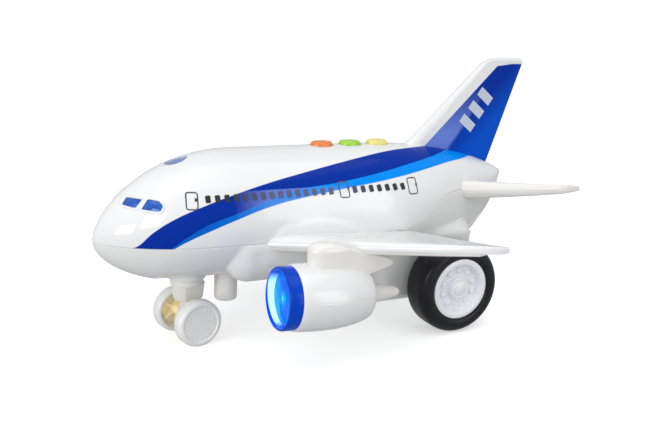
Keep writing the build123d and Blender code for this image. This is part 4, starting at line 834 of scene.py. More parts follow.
lower_body = thicken(shell_skin("lower_body", LOWER_SPOTS, seam_angles(180, 360, 143)), SHELL_WALL)
door = new_object("battery_cover", [], [])
door.data = lower_body.data.copy()
belly_cutters = [prism("bay_cutter", box_outline(door_low, door_high, GAP), 25.0, 39.5)]
for side, _ in SIDES:
    for s in (63.0, 134.0):
        belly_cutters.append(lathe("screw_bore", ((25.0, 0.0), (25.0, 2.7), (45.0, 2.7), (45.0, 0.0)),
                                   (NOSE_X - s, side * 18.0), axis="z", steps=40))
carve(lower_body, join("belly_cutters", belly_cutters))
carve(door, prism("door_keeper", box_outline(door_low, door_high), 25.0, 39.0), "INTERSECT")
soften(lower_body, EDGE, 2, EDGE_ANGLE)
soften(door, 0.25, 2, EDGE_ANGLE)
crease(lower_body)
crease(door)
finish_piece(lower_body, lower_white, stands_for=["lower_shell"])
finish_piece(door, lower_white, "battery_door", ["battery_door"])

# %% [markdown]
# The seat carries the nose gear, the peg stands behind it, and the bead closes the tail's edge.

# %% Swivel seat, belly peg and tail bead
seat = lathe("swivel_seat", ((34.6, 4.7), (31.25, 4.7), (31.2, 5.0), (31.2, 8.8), (31.35, 9.15),
                             (31.7, 9.3), (34.6, 9.3)), (GEAR_X, 0.0), axis="z", steps=88, closed=True)
finish_piece(crease(seat, 40.0), lower_white)
peg = lathe("belly_peg", ((18.0, 0.0), (18.0, 4.6), (18.12, 5.1), (18.5, 5.45), (19.1, 5.6), (25.0, 5.68),
                          (34.0, 5.75), (34.0, 0.0)), (NOSE_X - PEG_S, 0.0), axis="z", steps=72)
finish_piece(crease(peg, 40.0), cream_plastic)


def tail_bead(side, name):
    """Round bead along the lower edge of the tail, where the mould parts."""
    s = np.linspace(192.0, 221.0, 30)
    z = belly(s) + 0.30 * (seam_height(s) - belly(s))
    path = on_skin(s, z, 0.15, side)
    turn = np.linspace(0, 2 * math.pi, 12, endpoint=False)
    rings = []
    for k, (here, t) in enumerate(zip(path, np.linspace(0, 1, len(s)))):
        ahead = path[min(k + 1, len(s) - 1)] - path[max(k - 1, 0)]
        ahead /= np.linalg.norm(ahead)
        across = np.cross(ahead, (0, 0, 1.0))
        across /= np.linalg.norm(across)
        over = np.cross(across, ahead)
        radius = 0.85 * math.sqrt(math.sin(math.pi * (0.04 + 0.92 * t)))
        rings.append([here + radius * (math.cos(a) * across + math.sin(a) * over) for a in turn])
    return tube(f"tail_bead_{name}", rings)


for side, name in SIDES:
    finish_piece(crease(tail_bead(side, name), 60.0), lower_white)

# %% [markdown]
# ## Wings, tailplanes and fin
#
# Each flying surface is a row of aerofoil sections: a blunt round nose, the greatest thickness
# close behind it and a thin but finite trailing edge. The wing is two mouldings, as on the
# toy: a thick upper shell and a lower plate, a little smaller, that shows as a fine line under
# the leading edge. Rows close in on themselves at the tip, which rounds it, and the trailing
# edge thickens towards the tip, so that the outer corner is blunt.

# %% Aerofoil rows
def quarter_turn(t):
    """Quarter circle that rises from 0 at 0 to 1 at 1."""
    return np.sqrt(np.clip(1.0 - (1.0 - np.clip(t, 0, 1)) ** 2, 0, 1))


def thickness_share(c, peak, edge):
    """Half thickness along the chord, 1 at the peak and edge at the trailing edge."""
    u = np.clip((c - peak) / (1.0 - peak), 0, 1)
    fall = (1.0 - u**1.5) * (1.0 - 0.35 * u) * (1.0 - edge) + edge
    return np.where(c < peak, quarter_turn(c / peak), fall * quarter_turn((1.0 - c) / 0.012))


def chord_steps(count):
    return (1.0 - np.cos(np.linspace(0.0, math.pi, count))) / 2


def wing_place(fraction):
    """Y, leading and trailing stations, middle height and thickness along the span."""
    y = 22.0 + (HALF_SPAN - 22.0) * fraction
    lead = 76.5 + 75.0 * (0.62 * fraction + 0.38 * fraction**2.2)
    lead -= 9.0 * max(1.0 - fraction / 0.36, 0.0) ** 1.3
    trail = 150.5 + 7.4 * math.sqrt(fraction)
    return y, lead, trail, 51.0 + 10.0 * fraction, 8.8 - 4.6 * fraction


def tailplane_place(fraction):
    y = 6.0 + (60.0 - 6.0) * fraction
    return (y, 176.5 + 46.5 * fraction, 221.0 + 12.6 * fraction, 68.8 + 7.5 * fraction**1.35,
            12.0 - 7.4 * fraction)


def span_steps(count, tip):
    """Even steps along the span, then closer ones that round the tip."""
    even = np.linspace(0.0, 1.0 - tip, count)
    return np.concatenate([even, 1.0 - tip + tip * np.sin(np.linspace(0.12, 1.0, 8) * math.pi / 2)])


def aerofoil(place, fraction, tip, peak, up_share, edge, steps=34):
    """Upper and lower curves of one section, as (station, y, z) points from nose to tail."""
    y, lead, trail, z, thick = place(fraction)
    close = math.sqrt(max(1.0 - max((fraction - 1.0 + tip) / tip, 0.0) ** 2, 0.0))
    draw_in = (1.0 - close) * 1.1
    lead, trail, thick = lead + draw_in, trail - draw_in, thick * (0.5 + 0.5 * close)
    c = chord_steps(steps)
    share = thickness_share(c, peak, edge + (0.66 - edge) * fraction**4)
    s = lead + (trail - lead) * c
    return s, y, z + thick * up_share * share, z - thick * (1 - up_share) * share, z, lead, trail


def ring_of(s, y, upper, lower, side):
    """Closed ring from an upper and a lower curve."""
    top = np.column_stack([NOSE_X - s, np.full(len(s), side * y), upper])
    under = np.column_stack([NOSE_X - s, np.full(len(s), side * y), lower])
    return np.vstack([top, under[-2:0:-1]])


WING_TIP = 0.028
PARTING = 1.15
WING_PEAK, WING_EDGE, UNDER_SHARE = 0.12, 0.17, 0.45


def wing_upper(side, name):
    rings = []
    for fraction in span_steps(26, WING_TIP):
        s, y, upper, lower, z, *_ = aerofoil(wing_place, fraction, WING_TIP, WING_PEAK, 1 - UNDER_SHARE,
                                             WING_EDGE)
        rings.append(ring_of(s, y, upper, np.minimum(np.maximum(lower, z - PARTING), upper - 0.01), side))
    return tube(f"wing_top_{name}", rings)


def wing_lower(side, name):
    rings = []
    for fraction in np.linspace(0.0, 0.93, 24):
        y, lead, trail, z, thick = wing_place(fraction)
        c = chord_steps(34)
        deep = thick * UNDER_SHARE * thickness_share(c, WING_PEAK, WING_EDGE) > PARTING + 0.15
        start, stop = c[deep].min(), c[deep].max()
        c = start + (stop - start) * chord_steps(30)
        depth = thick * UNDER_SHARE * thickness_share(c, WING_PEAK, WING_EDGE) + 0.25
        s = lead + (trail - lead) * c
        rings.append(ring_of(s, y, np.full(len(s), z - PARTING - 0.04), z - depth, side))
    return tube(f"wing_plate_{name}", rings)


for side, name in SIDES:
    panel = crease(soften(wing_upper(side, name), 0.3, 2, 50.0), 50.0)
    finish_piece(panel, nacelle_white, stands_for=[f"wing_{name}_upper"])
    under = crease(soften(wing_lower(side, name), 0.25, 2, 50.0), 50.0)
    finish_piece(under, cream_plastic, stands_for=[f"wing_{name}_lower"])

# %% [markdown]
# The tailplanes are the same aerofoil, smaller, whole and without a parting line.

# %% Tailplanes
TAILPLANE_TIP = 0.04


def tailplane(side, name):
    rings = []
    for fraction in span_steps(22, TAILPLANE_TIP):
        s, y, upper, lower, *_ = aerofoil(tailplane_place, fraction, TAILPLANE_TIP, 0.16, 0.5, 0.15)
        rings.append(ring_of(s, y, upper, lower, side))
    return tube(f"tailplane_skin_{name}", rings)


for side, name in SIDES:
    finish_piece(crease(soften(tailplane(side, name), 0.35, 3, 50.0), 50.0), cream_plastic,
                 stands_for=[f"tailplane_{name}"])

# %% [markdown]
# ### Fin
#
# The fin's sections are level slices between a swept leading edge and a steeper trailing edge,
# 6.4 mm thick at the root and 4.4 mm at the top. The blue film, its white border and three
# plain slanted bars are in the material: the border runs parallel to the leading edge and
# under the top edge.

# %% Fin
FIN_FOOT_Z, FIN_BEND_Z, FIN_TOP_Z = 80.0, 134.0, 138.5
LEAD_LOW, LEAD_HIGH = (112.0, 185.1), (135.2, 209.5)
SWEEP = (LEAD_HIGH[1] - LEAD_LOW[1]) / (LEAD_HIGH[0] - LEAD_LOW[0])


def fin_lead(z):
    """Station of the leading edge; it sweeps out at the root and bends over at the top."""
    swept = LEAD_LOW[1] + (z - LEAD_LOW[0]) * SWEEP
    root = -2.4 * np.clip((97.0 - z) / 6.0, 0, 1) ** 2
    top = 6.2 * np.clip((z - 134.6) / 3.9, 0, 1) ** 2.2
    return swept + root + top


def fin_trail(z):
    """Station of the trailing edge, drawn in at the upper corner."""
    line = 217.6 + (z - 79.5) * (237.9 - 217.6) / (136.4 - 79.5)
    corner = 3.2 * np.clip((z - 136.0) / 2.5, 0, 1) ** 2
    return line - corner


def fin_solid():
    over = np.sin(np.linspace(0.1, 1, 12) * math.pi / 2)
    heights = np.concatenate([np.linspace(FIN_FOOT_Z, FIN_BEND_Z, 40),
                              FIN_BEND_Z + (FIN_TOP_Z - FIN_BEND_Z) * over])
    rings = []
    for z in heights:
        lead, trail = fin_lead(z), fin_trail(z)
        thick = 6.4 - 2.0 * np.clip((z - 93.6) / 45.0, 0, 1)
        thick *= math.sqrt(max(1.0 - np.clip((z - 136.6) / 1.92, 0, 1) ** 2, 0.0)) + 0.02
        c = chord_steps(40)
        half = thick / 2 * quarter_turn(c / 0.075) * quarter_turn((1.0 - c) / 0.025)
        half *= 1.0 - 0.62 * np.clip((c - 0.35) / 0.65, 0, 1) ** 1.3
        x = NOSE_X - (lead + (trail - lead) * c)
        left = np.column_stack([x, half, np.full(len(c), z)])
        right = np.column_stack([x, -half, np.full(len(c), z)])
        rings.append(np.vstack([left, right[-2:0:-1]]))
    return tube("fin_skin", rings)


def fin_print():
    """White plastic with blue film behind a white border."""
    r = moulded("fin_plastic", WHITE, rough=0.14, coat=0.4)
    station, height = r.station(), r.height()
    behind = r.math("SUBTRACT", station,
                    r.math("MULTIPLY_ADD", height, SWEEP, LEAD_LOW[1] - LEAD_LOW[0] * SWEEP))
    border = r.ramp(behind, 10.6, 10.9)
    cap = r.ramp(r.math("ADD", height, r.math("MULTIPLY", r.ramp(behind, 20.0, 8.0, 0.0, 1.0), 1.6)),
                 135.1, 135.4, 1.0, 0.0)
    film = r.math("MULTIPLY", border, cap)
    # painted reflection: a paler patch on the film's lower front, like the glare on the cabin's sweep
    film_painted_reflection = r.math("MULTIPLY", r.ramp(r.math("MULTIPLY_ADD", height, 0.3, behind), 56.5, 53.5),
                  r.ramp(height, 123.0, 98.0))
    rear_blue = r.mix(r.ramp(behind, 22.0, 44.0), (*DARK_BLUE, 1.0), (0.0, 0.085, 0.60, 1.0))
    blue = r.mix(r.math("MULTIPLY", film_painted_reflection, 0.85), rear_blue, (0.17, 0.27, 0.74, 1.0))
    # three plain slanted bars in the place of a name
    along = r.math("ADD", r.math("MULTIPLY", height, 0.80), r.math("MULTIPLY", station, 0.60))
    cross = r.math("SUBTRACT", r.math("MULTIPLY", station, 0.80), r.math("MULTIPLY", height, 0.60))
    bars = None
    for k in range(3):
        inside = r.math("COMPARE", along, 203.5 + 9.0 * k, 2.6)
        bars = inside if bars is None else r.math("MAXIMUM", bars, inside)
    strip = r.math("MULTIPLY", bars, r.math("COMPARE", cross, 99.4, 5.2))
    blue = r.mix(strip, blue, (0.58, 0.63, 0.74, 1.0))
    r.print_over(film, blue)
    r.set(Coat_Weight=r.blend(film, 0.7, 0.05), Specular_IOR_Level=0.08)
    return r.material


fin = crease(fin_solid(), 55.0)
finish_piece(fin, fin_print(), stands_for=["tail_fin"])

# %% [markdown]
# ## Engines
#
# Each engine is a barrel in two halves with a rounded strut that wraps up over the wing's
# leading edge, a clear blue intake cup, a lamp with its reflector behind the cup and a tail
# cone. The barrel is turned as a closed ring and parted a little above its axis. All of it but
# the strut is turned level and then tilted about the intake, so that the tail hangs lower.

# %% Engine finishes
def clear_plastic(name, colour, deep, rough=0.04, strength=0.9):
    """Tinted clear plastic, a little uneven in its tint."""
    r = Recipe(name)
    cloud = r.noise(220.0, 3.0)
    r.set(Base_Color=r.mix(r.ramp(cloud, 0.35, 0.65), (*colour, 1.0), (*deep, 1.0)),
          Roughness=r.ramp(r.noise(600.0, 2.0), 0.3, 0.7, rough * 0.7, rough * 1.6),
          Transmission_Weight=strength, IOR=1.49, Coat_Weight=0.3)
    r.bump(r.noise(420.0, 2.0), 0.04, 0.0004)
    return r.material


def lit_reflector():
    """Metallised dish with faint spun rings."""
    r = Recipe("spun_reflector")
    r.set(Base_Color=r.mix(r.noise(500.0), (0.55, 0.80, 0.95, 1.0), (0.75, 0.9, 1.0, 1.0)),
          Metallic=0.6, Roughness=r.ramp(r.noise(900.0), 0.3, 0.7, 0.18, 0.34))
    r.bump(r.noise(1600.0), 0.2, 0.0003)
    return r.material


reflector = lit_reflector()


def intake_painted_glow():
    """Blue intake with painted light: a bright crescent painted and glowing on the inboard wall, a faint
    glow over the whole cup, and a brushed disc.
    """
    r = Recipe("intake_painted_glow_plastic")
    across = r.math("MULTIPLY_ADD", r.math("ABSOLUTE", r.axes()[1]), 1000.0, -ENGINE_Y)
    height = r.math("SUBTRACT", r.height(), ENGINE_Z)
    radius = r.math("SQRT", r.math("ADD", r.math("POWER", r.math("ABSOLUTE", across), 2.0),
                                   r.math("POWER", r.math("ABSOLUTE", height), 2.0)))
    low_inboard = r.math("SUBTRACT", r.math("MULTIPLY", across, -0.92), r.math("MULTIPLY", height, 0.39))
    toward = r.math("DIVIDE", low_inboard, r.math("MAXIMUM", radius, 0.2))
    brushed = r.noise(420.0, 5.0, 0.7, (1.0, 1.0, 0.35))
    disc = r.mix(r.ramp(brushed, 0.35, 0.68), (0.0, 0.10, 0.80, 1.0), (0.0, 0.26, 0.98, 1.0))
    disc = r.mix(r.ramp(radius, 3.2, 0.5), disc, (0.02, 0.62, 1.0, 1.0))
    # painted light: the crescent on the inboard wall is painted pale where light shines through the thin
    # wall
    crescent = r.math("MULTIPLY", r.ramp(toward, 0.30, 0.78), r.ramp(r.station(), 67.6, 68.2))
    wall = r.mix(crescent, (0.0, 0.09, 0.78, 1.0), (0.50, 0.98, 1.0, 1.0))
    rim = r.mix(r.noise(260.0, 3.0), (0.0, 0.035, 0.40, 1.0), (0.0, 0.075, 0.56, 1.0))
    colour = r.mix(r.ramp(radius, 11.9, 12.2), disc, r.mix(r.ramp(radius, 13.35, 13.5), wall, rim))
    # painted glow: strong on the crescent and faint over the whole cup, though the cup is no lamp
    glow = r.blend(r.math("MULTIPLY", crescent, r.ramp(radius, 13.5, 13.3)), 0.12, 0.9)
    r.set(Base_Color=colour, Emission_Color=colour, Emission_Strength=glow,
          Roughness=r.ramp(brushed, 0.3, 0.7, 0.05, 0.12),
          Transmission_Weight=0.15, IOR=1.49, Specular_IOR_Level=0.08)
    r.bump(brushed, 0.06, 0.0003)
    return r.material


painted_glow_blue = intake_painted_glow()


def led_glass():
    """Clear lamp body that glows faintly from inside."""
    r = Recipe("lamp_body")
    glow = r.ramp(r.noise(700.0), 0.3, 0.7, 0.8, 1.2)
    r.set(Base_Color=r.mix(r.noise(500.0), (0.8, 0.95, 1.0, 1.0), (0.9, 1.0, 1.0, 1.0)),
          Roughness=0.12, Emission_Color=(0.3, 0.85, 1.0, 1.0), Emission_Strength=glow)
    return r.material


lamp_body = led_glass()

# %% [markdown]
# One pass makes each engine: two barrel halves, strut, cup with its rim, lamp and tail cone.

# %% Engine pieces
BARREL = ((73.5, 14.2), (73.55, 14.55), (74.2, 14.85), (77.0, 15.1), (82.0, 15.3), (88.0, 15.35),
          (93.5, 15.1), (98.6, 14.5), (103.0, 13.7), (106.5, 12.8), (108.8, 12.0), (110.2, 11.3),
          (111.0, 10.5), (111.2, 9.8), (111.2, 5.5), (109.9, 5.5), (109.7, 8.9), (105.5, 11.2),
          (97.0, 12.9), (88.0, 13.7), (78.0, 13.5), (75.2, 13.2), (75.1, 9.1), (73.5, 9.1))
CUP = ((73.45, 0.0), (73.45, 14.2), (68.6, 14.25), (67.8, 14.1), (67.35, 13.7), (67.3, 13.2), (67.5, 12.85),
       (69.0, 12.75), (70.6, 12.35), (70.85, 12.0), (70.85, 3.2), (70.5, 2.7), (70.1, 1.8), (69.9, 0.0))
CONE = ((109.95, 0.0), (109.95, 5.4), (111.3, 5.4), (111.8, 5.25), (119.5, 3.85), (126.5, 2.45),
        (128.0, 1.95),
        (128.7, 1.4), (129.0, 0.7), (129.02, 0.0))


DROOP = math.radians(3.4)
SPLIT_Z = ENGINE_Z + 1.8


def drooped(obj):
    """Tilt an engine piece about its intake, so that its tail hangs a little lower."""
    hinge = Vector((NOSE_X - ENGINE_S, 0, ENGINE_Z)) * MM
    turn = Matrix.Translation(hinge) @ Matrix.Rotation(-DROOP, 4, "Y") @ Matrix.Translation(-hinge)
    obj.data.transform(turn)
    obj.data.update()
    return obj


def barrel_half(side, name, part):
    """One half of the barrel, cut at the parting plane."""
    shell = lathe(f"barrel_{part}_{name}", BARREL, (side * ENGINE_Y, ENGINE_Z), closed=True)
    low, high = (SPLIT_Z + 0.02, 60.0) if part == "top" else (10.0, SPLIT_Z - 0.02)
    y = side * ENGINE_Y
    front, rear = NOSE_X - 60, NOSE_X - 120
    keeper = prism("keeper", [(front, y - 20), (front, y + 20), (rear, y + 20), (rear, y - 20)], low, high)
    return carve(shell, keeper, "INTERSECT")


STRUT_TOP_Z = 56.2
STRUT_REAR = ((40.0, 104.0), (43.0, 109.0), (45.5, 119.0), (47.0, 125.0), (49.0, 124.0), (52.0, 117.0),
              (54.5, 108.0), (57.0, 101.0), (60.2, 95.0))


def strut(side, name):
    """Rounded strut: full in front, thin behind, closed over the wing by a rounded top."""
    rings = []
    over = np.sin(np.linspace(0.1, 1, 10) * math.pi / 2)
    for z in np.concatenate([np.linspace(42.5, STRUT_TOP_Z, 26), STRUT_TOP_Z + 4.0 * over]):
        close = math.sqrt(max(1.0 - max((z - STRUT_TOP_Z) / 4.02, 0.0) ** 2, 0.0))
        front = 81.4 + 6.0 * (1.0 - close)
        rear = float(smooth_curve(STRUT_REAR, z)) - 6.0 * (1.0 - close)
        half = 5.6 * (0.22 + 0.78 * close)
        c = chord_steps(30)
        s = front + (rear - front) * c
        wide = half * quarter_turn((s - front) / 6.0) * quarter_turn((rear - s) / 2.0)
        wide *= 1.0 - 0.6 * np.clip((s - 92.0) / 34.0, 0, 1) ** 1.2
        x = NOSE_X - s
        outer = np.column_stack([x, side * ENGINE_Y + wide, np.full(len(s), z)])
        inner = np.column_stack([x, side * ENGINE_Y - wide, np.full(len(s), z)])
        rings.append(np.vstack([outer, inner[-2:0:-1]]))
    return tube(f"strut_{name}", rings)


for side, name in SIDES:
    centre = (side * ENGINE_Y, ENGINE_Z)
    for part, node in (("top", "upper"), ("bottom", "lower")):
        half = crease(soften(barrel_half(side, name, part), 0.2, 2, 45.0), 40.0)
        finish_piece(drooped(half), nacelle_white,
                     stands_for=[f"nacelle_{name}_{node}"])
    finish_piece(crease(strut(side, name), 55.0), cream_plastic)
    cup = crease(lathe(f"intake_cup_{name}", CUP, centre), 35.0)
    finish_piece(drooped(cup), painted_glow_blue, stands_for=[f"engine_intake_{name}"])
    dish = lathe(f"lamp_dish_{name}",
                 ((73.7, 8.9), (73.9, 9.0), (75.5, 8.6), (77.5, 6.6), (78.6, 3.4), (78.9, 0.0),
                  (79.4, 0.0), (79.2, 4.0), (78.0, 7.4), (75.8, 9.0), (73.7, 9.05)), centre)
    finish_piece(crease(drooped(dish), 40.0), reflector,
                 stands_for=[f"engine_lamp_{name}"])
    lamp = lathe(f"lamp_{name}", ((73.6, 0.0), (73.7, 0.9), (74.2, 1.8), (75.2, 2.4), (78.4, 2.5),
                                  (78.4, 2.9), (79.2, 2.9), (79.2, 0.0)), centre, steps=48)
    finish_piece(crease(drooped(lamp), 40.0), lamp_body)
    cone = crease(soften(lathe(f"tail_cone_{name}", CONE, centre), 0.15, 2, 50.0), 40.0)
    finish_piece(drooped(cone), cream_plastic, stands_for=[f"engine_cone_{name}"])

# %% [markdown]
# ## Glazing, bezels and the roof lamp
#
# Each cockpit pane is a slightly crowned plate of blue plastic sunk in its opening, with a
# raised white bezel round it. The roof lamp is a paler blue lens in its own seat.

# %% Cockpit panes and roof lamp
pane_blue = clear_plastic("cockpit_blue", (0.015, 0.17, 0.72), (0.005, 0.085, 0.46), 0.05, 0.15)
lens_blue = clear_plastic("roof_lamp_blue", (0.16, 0.27, 0.62), (0.12, 0.22, 0.56), 0.10, 0.25)

panes, bezels = [], []
for side, name in SIDES:
    for k, outline in enumerate(WINDOWS):
        panes.append(plate("pane", finer(grown(outline, 0.06)), -0.55, 1.0, side, crown=0.25))
        bezels.append(frame_ring("bezel", finer(grown(outline, 0.5)), 0.85, 0.28, 0.6, side, soft=0.6))
finish_piece(crease(join("cockpit_panes", panes), 45.0), pane_blue,
             stands_for=["cockpit_glazing"])
finish_piece(crease(join("window_bezels", bezels), 60.0), shell_print)

lens_rings = ((LENS_R - 0.15, -2.6), (LENS_R - 0.12, -0.75), (LENS_R - 0.5, -0.45), (4.6, -0.25),
              (3.2, -0.05), (1.6, 0.08), (0.4, 0.12))
finish_piece(crease(lens_disc("roof_lamp_lens", lens_rings), 50.0), lens_blue,
             stands_for=["roof_lens"])

# %% [markdown]
# ## Passenger windows and doors
#
# The passenger windows are one small rounded plate repeated along the cabin. Geometry Nodes
# place the copies: a strand of points lies on the skin and carries the direction the skin
# faces, and every copy turns to it. The doors are fine raised outlines with a handle.

# %% Geometry Nodes: copies along a row
def node_tree(name, inputs):
    """Empty geometry tree with a Geometry input and output and further named inputs."""
    tree = bpy.data.node_groups.new(name, "GeometryNodeTree")
    tree.interface.new_socket("Geometry", in_out="INPUT", socket_type="NodeSocketGeometry")
    for label, kind, value in inputs:
        socket = tree.interface.new_socket(label, in_out="INPUT", socket_type=kind)
        if value is not None:
            socket.default_value = value
    tree.interface.new_socket("Geometry", in_out="OUTPUT", socket_type="NodeSocketGeometry")
    return tree, tree.nodes.new("NodeGroupInput"), tree.nodes.new("NodeGroupOutput")


def add_node(tree, kind, settings=None, **links):
    """Node with its settings, and links or values for its inputs by name."""
    node = tree.nodes.new(kind)
    for key, value in (settings or {}).items():
        setattr(node, key, value)
    for key, value in links.items():
        socket = node.inputs[key.replace("_", " ")]
        if hasattr(value, "is_output"):
            tree.links.new(value, socket)
        else:
            socket.default_value = value
    return node


def row_of_windows_tree():
    """Rounded plates on points that carry 'facing' and 'along' directions."""
    tree, start, end = node_tree("row_of_windows", (
        ("Width", "NodeSocketFloat", 1.8 * MM), ("Height", "NodeSocketFloat", 3.0 * MM),
        ("Corner", "NodeSocketFloat", 0.55 * MM), ("Thickness", "NodeSocketFloat", 0.3 * MM),
        ("Material", "NodeSocketMaterial", None)))
    box = add_node(tree, "GeometryNodeCurvePrimitiveQuadrilateral",
                   Width=start.outputs["Width"], Height=start.outputs["Height"])
    corner = tree.nodes.new("GeometryNodeFilletCurve")
    tree.links.new(box.outputs[0], corner.inputs["Curve"])
    if "Mode" in corner.inputs:
        corner.inputs["Mode"].default_value = "Poly"
    else:
        corner.mode = "POLY"
    tree.links.new(start.outputs["Corner"], corner.inputs["Radius"])
    corner.inputs["Count"].default_value = 5
    face = add_node(tree, "GeometryNodeFillCurve", Curve=corner.outputs[0])
    flip = add_node(tree, "GeometryNodeFlipFaces", Mesh=face.outputs[0])
    raised = add_node(tree, "GeometryNodeExtrudeMesh", Mesh=face.outputs[0],
                      Offset_Scale=start.outputs["Thickness"])
    whole = tree.nodes.new("GeometryNodeJoinGeometry")
    tree.links.new(raised.outputs["Mesh"], whole.inputs[0])
    tree.links.new(flip.outputs[0], whole.inputs[0])
    sealed = add_node(tree, "GeometryNodeMergeByDistance", Geometry=whole.outputs[0], Distance=0.01 * MM)
    facing = add_node(tree, "GeometryNodeInputNamedAttribute", {"data_type": "FLOAT_VECTOR"}, Name="facing")
    along = add_node(tree, "GeometryNodeInputNamedAttribute", {"data_type": "FLOAT_VECTOR"}, Name="along")
    stand = add_node(tree, "FunctionNodeAlignRotationToVector", {"axis": "Z"}, Vector=facing.outputs[0])
    turn = add_node(tree, "FunctionNodeAlignRotationToVector", {"axis": "X", "pivot_axis": "Z"},
                    Rotation=stand.outputs[0], Vector=along.outputs[0])
    copies = add_node(tree, "GeometryNodeInstanceOnPoints", Points=start.outputs["Geometry"],
                      Instance=sealed.outputs[0], Rotation=turn.outputs[0])
    real = add_node(tree, "GeometryNodeRealizeInstances", Geometry=copies.outputs[0])
    paint = add_node(tree, "GeometryNodeSetMaterial", Geometry=real.outputs[0],
                     Material=start.outputs["Material"])
    tree.links.new(paint.outputs[0], end.inputs[0])
    return tree


def ring_of_copies_tree():
    """The piece itself, repeated round an axis along Y through a centre."""
    tree, start, end = node_tree("ring_of_copies", (
        ("Count", "NodeSocketInt", 8), ("Centre", "NodeSocketVector", None),
        ("Material", "NodeSocketMaterial", None)))
    back = add_node(tree, "ShaderNodeVectorMath", {"operation": "SCALE"}, Scale=-1.0)
    tree.links.new(start.outputs["Centre"], back.inputs[0])
    moved = add_node(tree, "GeometryNodeTransform", Geometry=start.outputs["Geometry"],
                     Translation=back.outputs[0])
    points = add_node(tree, "GeometryNodeMeshLine", Count=start.outputs["Count"], Offset=(0.0, 0.0, 0.0))
    index = tree.nodes.new("GeometryNodeInputIndex")
    turn = add_node(tree, "ShaderNodeMath", {"operation": "DIVIDE"})
    tree.links.new(index.outputs[0], turn.inputs[0])
    tree.links.new(start.outputs["Count"], turn.inputs[1])
    angle = add_node(tree, "ShaderNodeMath", {"operation": "MULTIPLY"})
    tree.links.new(turn.outputs[0], angle.inputs[0])
    angle.inputs[1].default_value = 2 * math.pi
    spin = add_node(tree, "ShaderNodeCombineXYZ", Y=angle.outputs[0])
    copies = add_node(tree, "GeometryNodeInstanceOnPoints", Points=points.outputs[0],
                      Instance=moved.outputs[0], Rotation=spin.outputs[0])
    home = add_node(tree, "GeometryNodeTransform", Geometry=copies.outputs[0],
                    Translation=start.outputs["Centre"])
    real = add_node(tree, "GeometryNodeRealizeInstances", Geometry=home.outputs[0])
    paint = add_node(tree, "GeometryNodeSetMaterial", Geometry=real.outputs[0],
                     Material=start.outputs["Material"])
    tree.links.new(paint.outputs[0], end.inputs[0])
    return tree


def run_tree(obj, tree, material, **values):
    """Run a geometry tree on an object and keep the plain mesh."""
    modifier = obj.modifiers.new(tree.name, "NODES")
    modifier.node_group = tree
    for item in tree.interface.items_tree:
        if item.item_type == "SOCKET" and item.in_out == "INPUT" and item.name in values:
            modifier[item.identifier] = values[item.name]
        if item.item_type == "SOCKET" and item.in_out == "INPUT" and item.name == "Material":
            modifier[item.identifier] = material
    return apply_modifiers(obj)


WINDOW_ROW = row_of_windows_tree()
COPIES = ring_of_copies_tree()

# %% [markdown]
# One window is a plate, and Geometry Nodes set the row along the band on each side.

# %% Passenger windows
def window_glass():
    """Near-black print, painted greyer in the middle of the row as a painted reflection of the sweep's
    glare.
    """
    r = Recipe("window_print")
    station = r.station()
    # painted reflection: the windows are painted greyer where the glare on the sweep lies
    pale = r.math("MULTIPLY", r.ramp(station, 56.0, 78.0), r.ramp(station, 132.0, 112.0))
    base = r.mix(pale, (0.012, 0.014, 0.020, 1.0), (0.085, 0.105, 0.20, 1.0))
    cloud = r.ramp(r.noise(800.0, 3.0), 0.3, 0.7, 0.12, 0.24)
    r.set(Base_Color=base, Roughness=cloud, Coat_Weight=0.4)
    r.bump(r.noise(1500.0), 0.04, 0.0003)
    return r.material


window_print = window_glass()
ROW_SPOTS = np.concatenate([np.linspace(46.3, 107.2, 15), np.linspace(120.2, 147.6, 7)])


def window_row(side, name):
    """Points of the row on one side, turned into windows by the node tree."""
    s = ROW_SPOTS
    z = 74.9 + 0.5 * np.clip((s - 46.0) / 60.0, 0.0, 1.0)
    points = on_skin(s, z, -0.12, side)
    facing = skin_facing(s, side_y(s, z), z) * (1, side, 1)
    ahead = on_skin(s + 0.5, z + 0.02, -0.12, side) - points
    lean = np.tan(np.radians(np.interp(s, (46.0, 150.0), (3.0, 9.0))))
    along = ahead / np.linalg.norm(ahead, axis=1, keepdims=True) + lean[:, None] * np.array([0, 0, 1.0])
    row = new_object(f"passenger_windows_{name}", points, [], smooth=False)
    for label, data in (("facing", facing), ("along", along)):
        layer = row.data.attributes.new(label, "FLOAT_VECTOR", "POINT")
        layer.data.foreach_set("vector", np.ascontiguousarray(data, dtype=np.float32).ravel())
    run_tree(row, WINDOW_ROW, window_print, Width=2.35 * MM, Height=3.45 * MM, Corner=0.6 * MM,
             Thickness=0.28 * MM)
    return row


for side, name in SIDES:
    finish_piece(window_row(side, name), window_print)

# %% [markdown]
# Each door is a thin printed outline with a handle, laid on the wall.

# %% Doors
def grey_ink():
    """Dark grey print, mottled a little."""
    r = Recipe("door_print")
    r.set(Base_Color=r.mix(r.ramp(r.noise(900.0, 4.0), 0.4, 0.6), (0.045, 0.047, 0.055, 1.0),
                           (0.11, 0.11, 0.125, 1.0)),
          Roughness=r.ramp(r.noise(500.0), 0.3, 0.7, 0.25, 0.4))
    r.bump(r.noise(1800.0), 0.05, 0.0002)
    return r.material


door_print = grey_ink()
DOORS = ((36.6, 70.7, 77.7, 4.9), (112.2, 72.1, 79.2, 4.9), (151.4, 71.4, 79.0, 5.2))


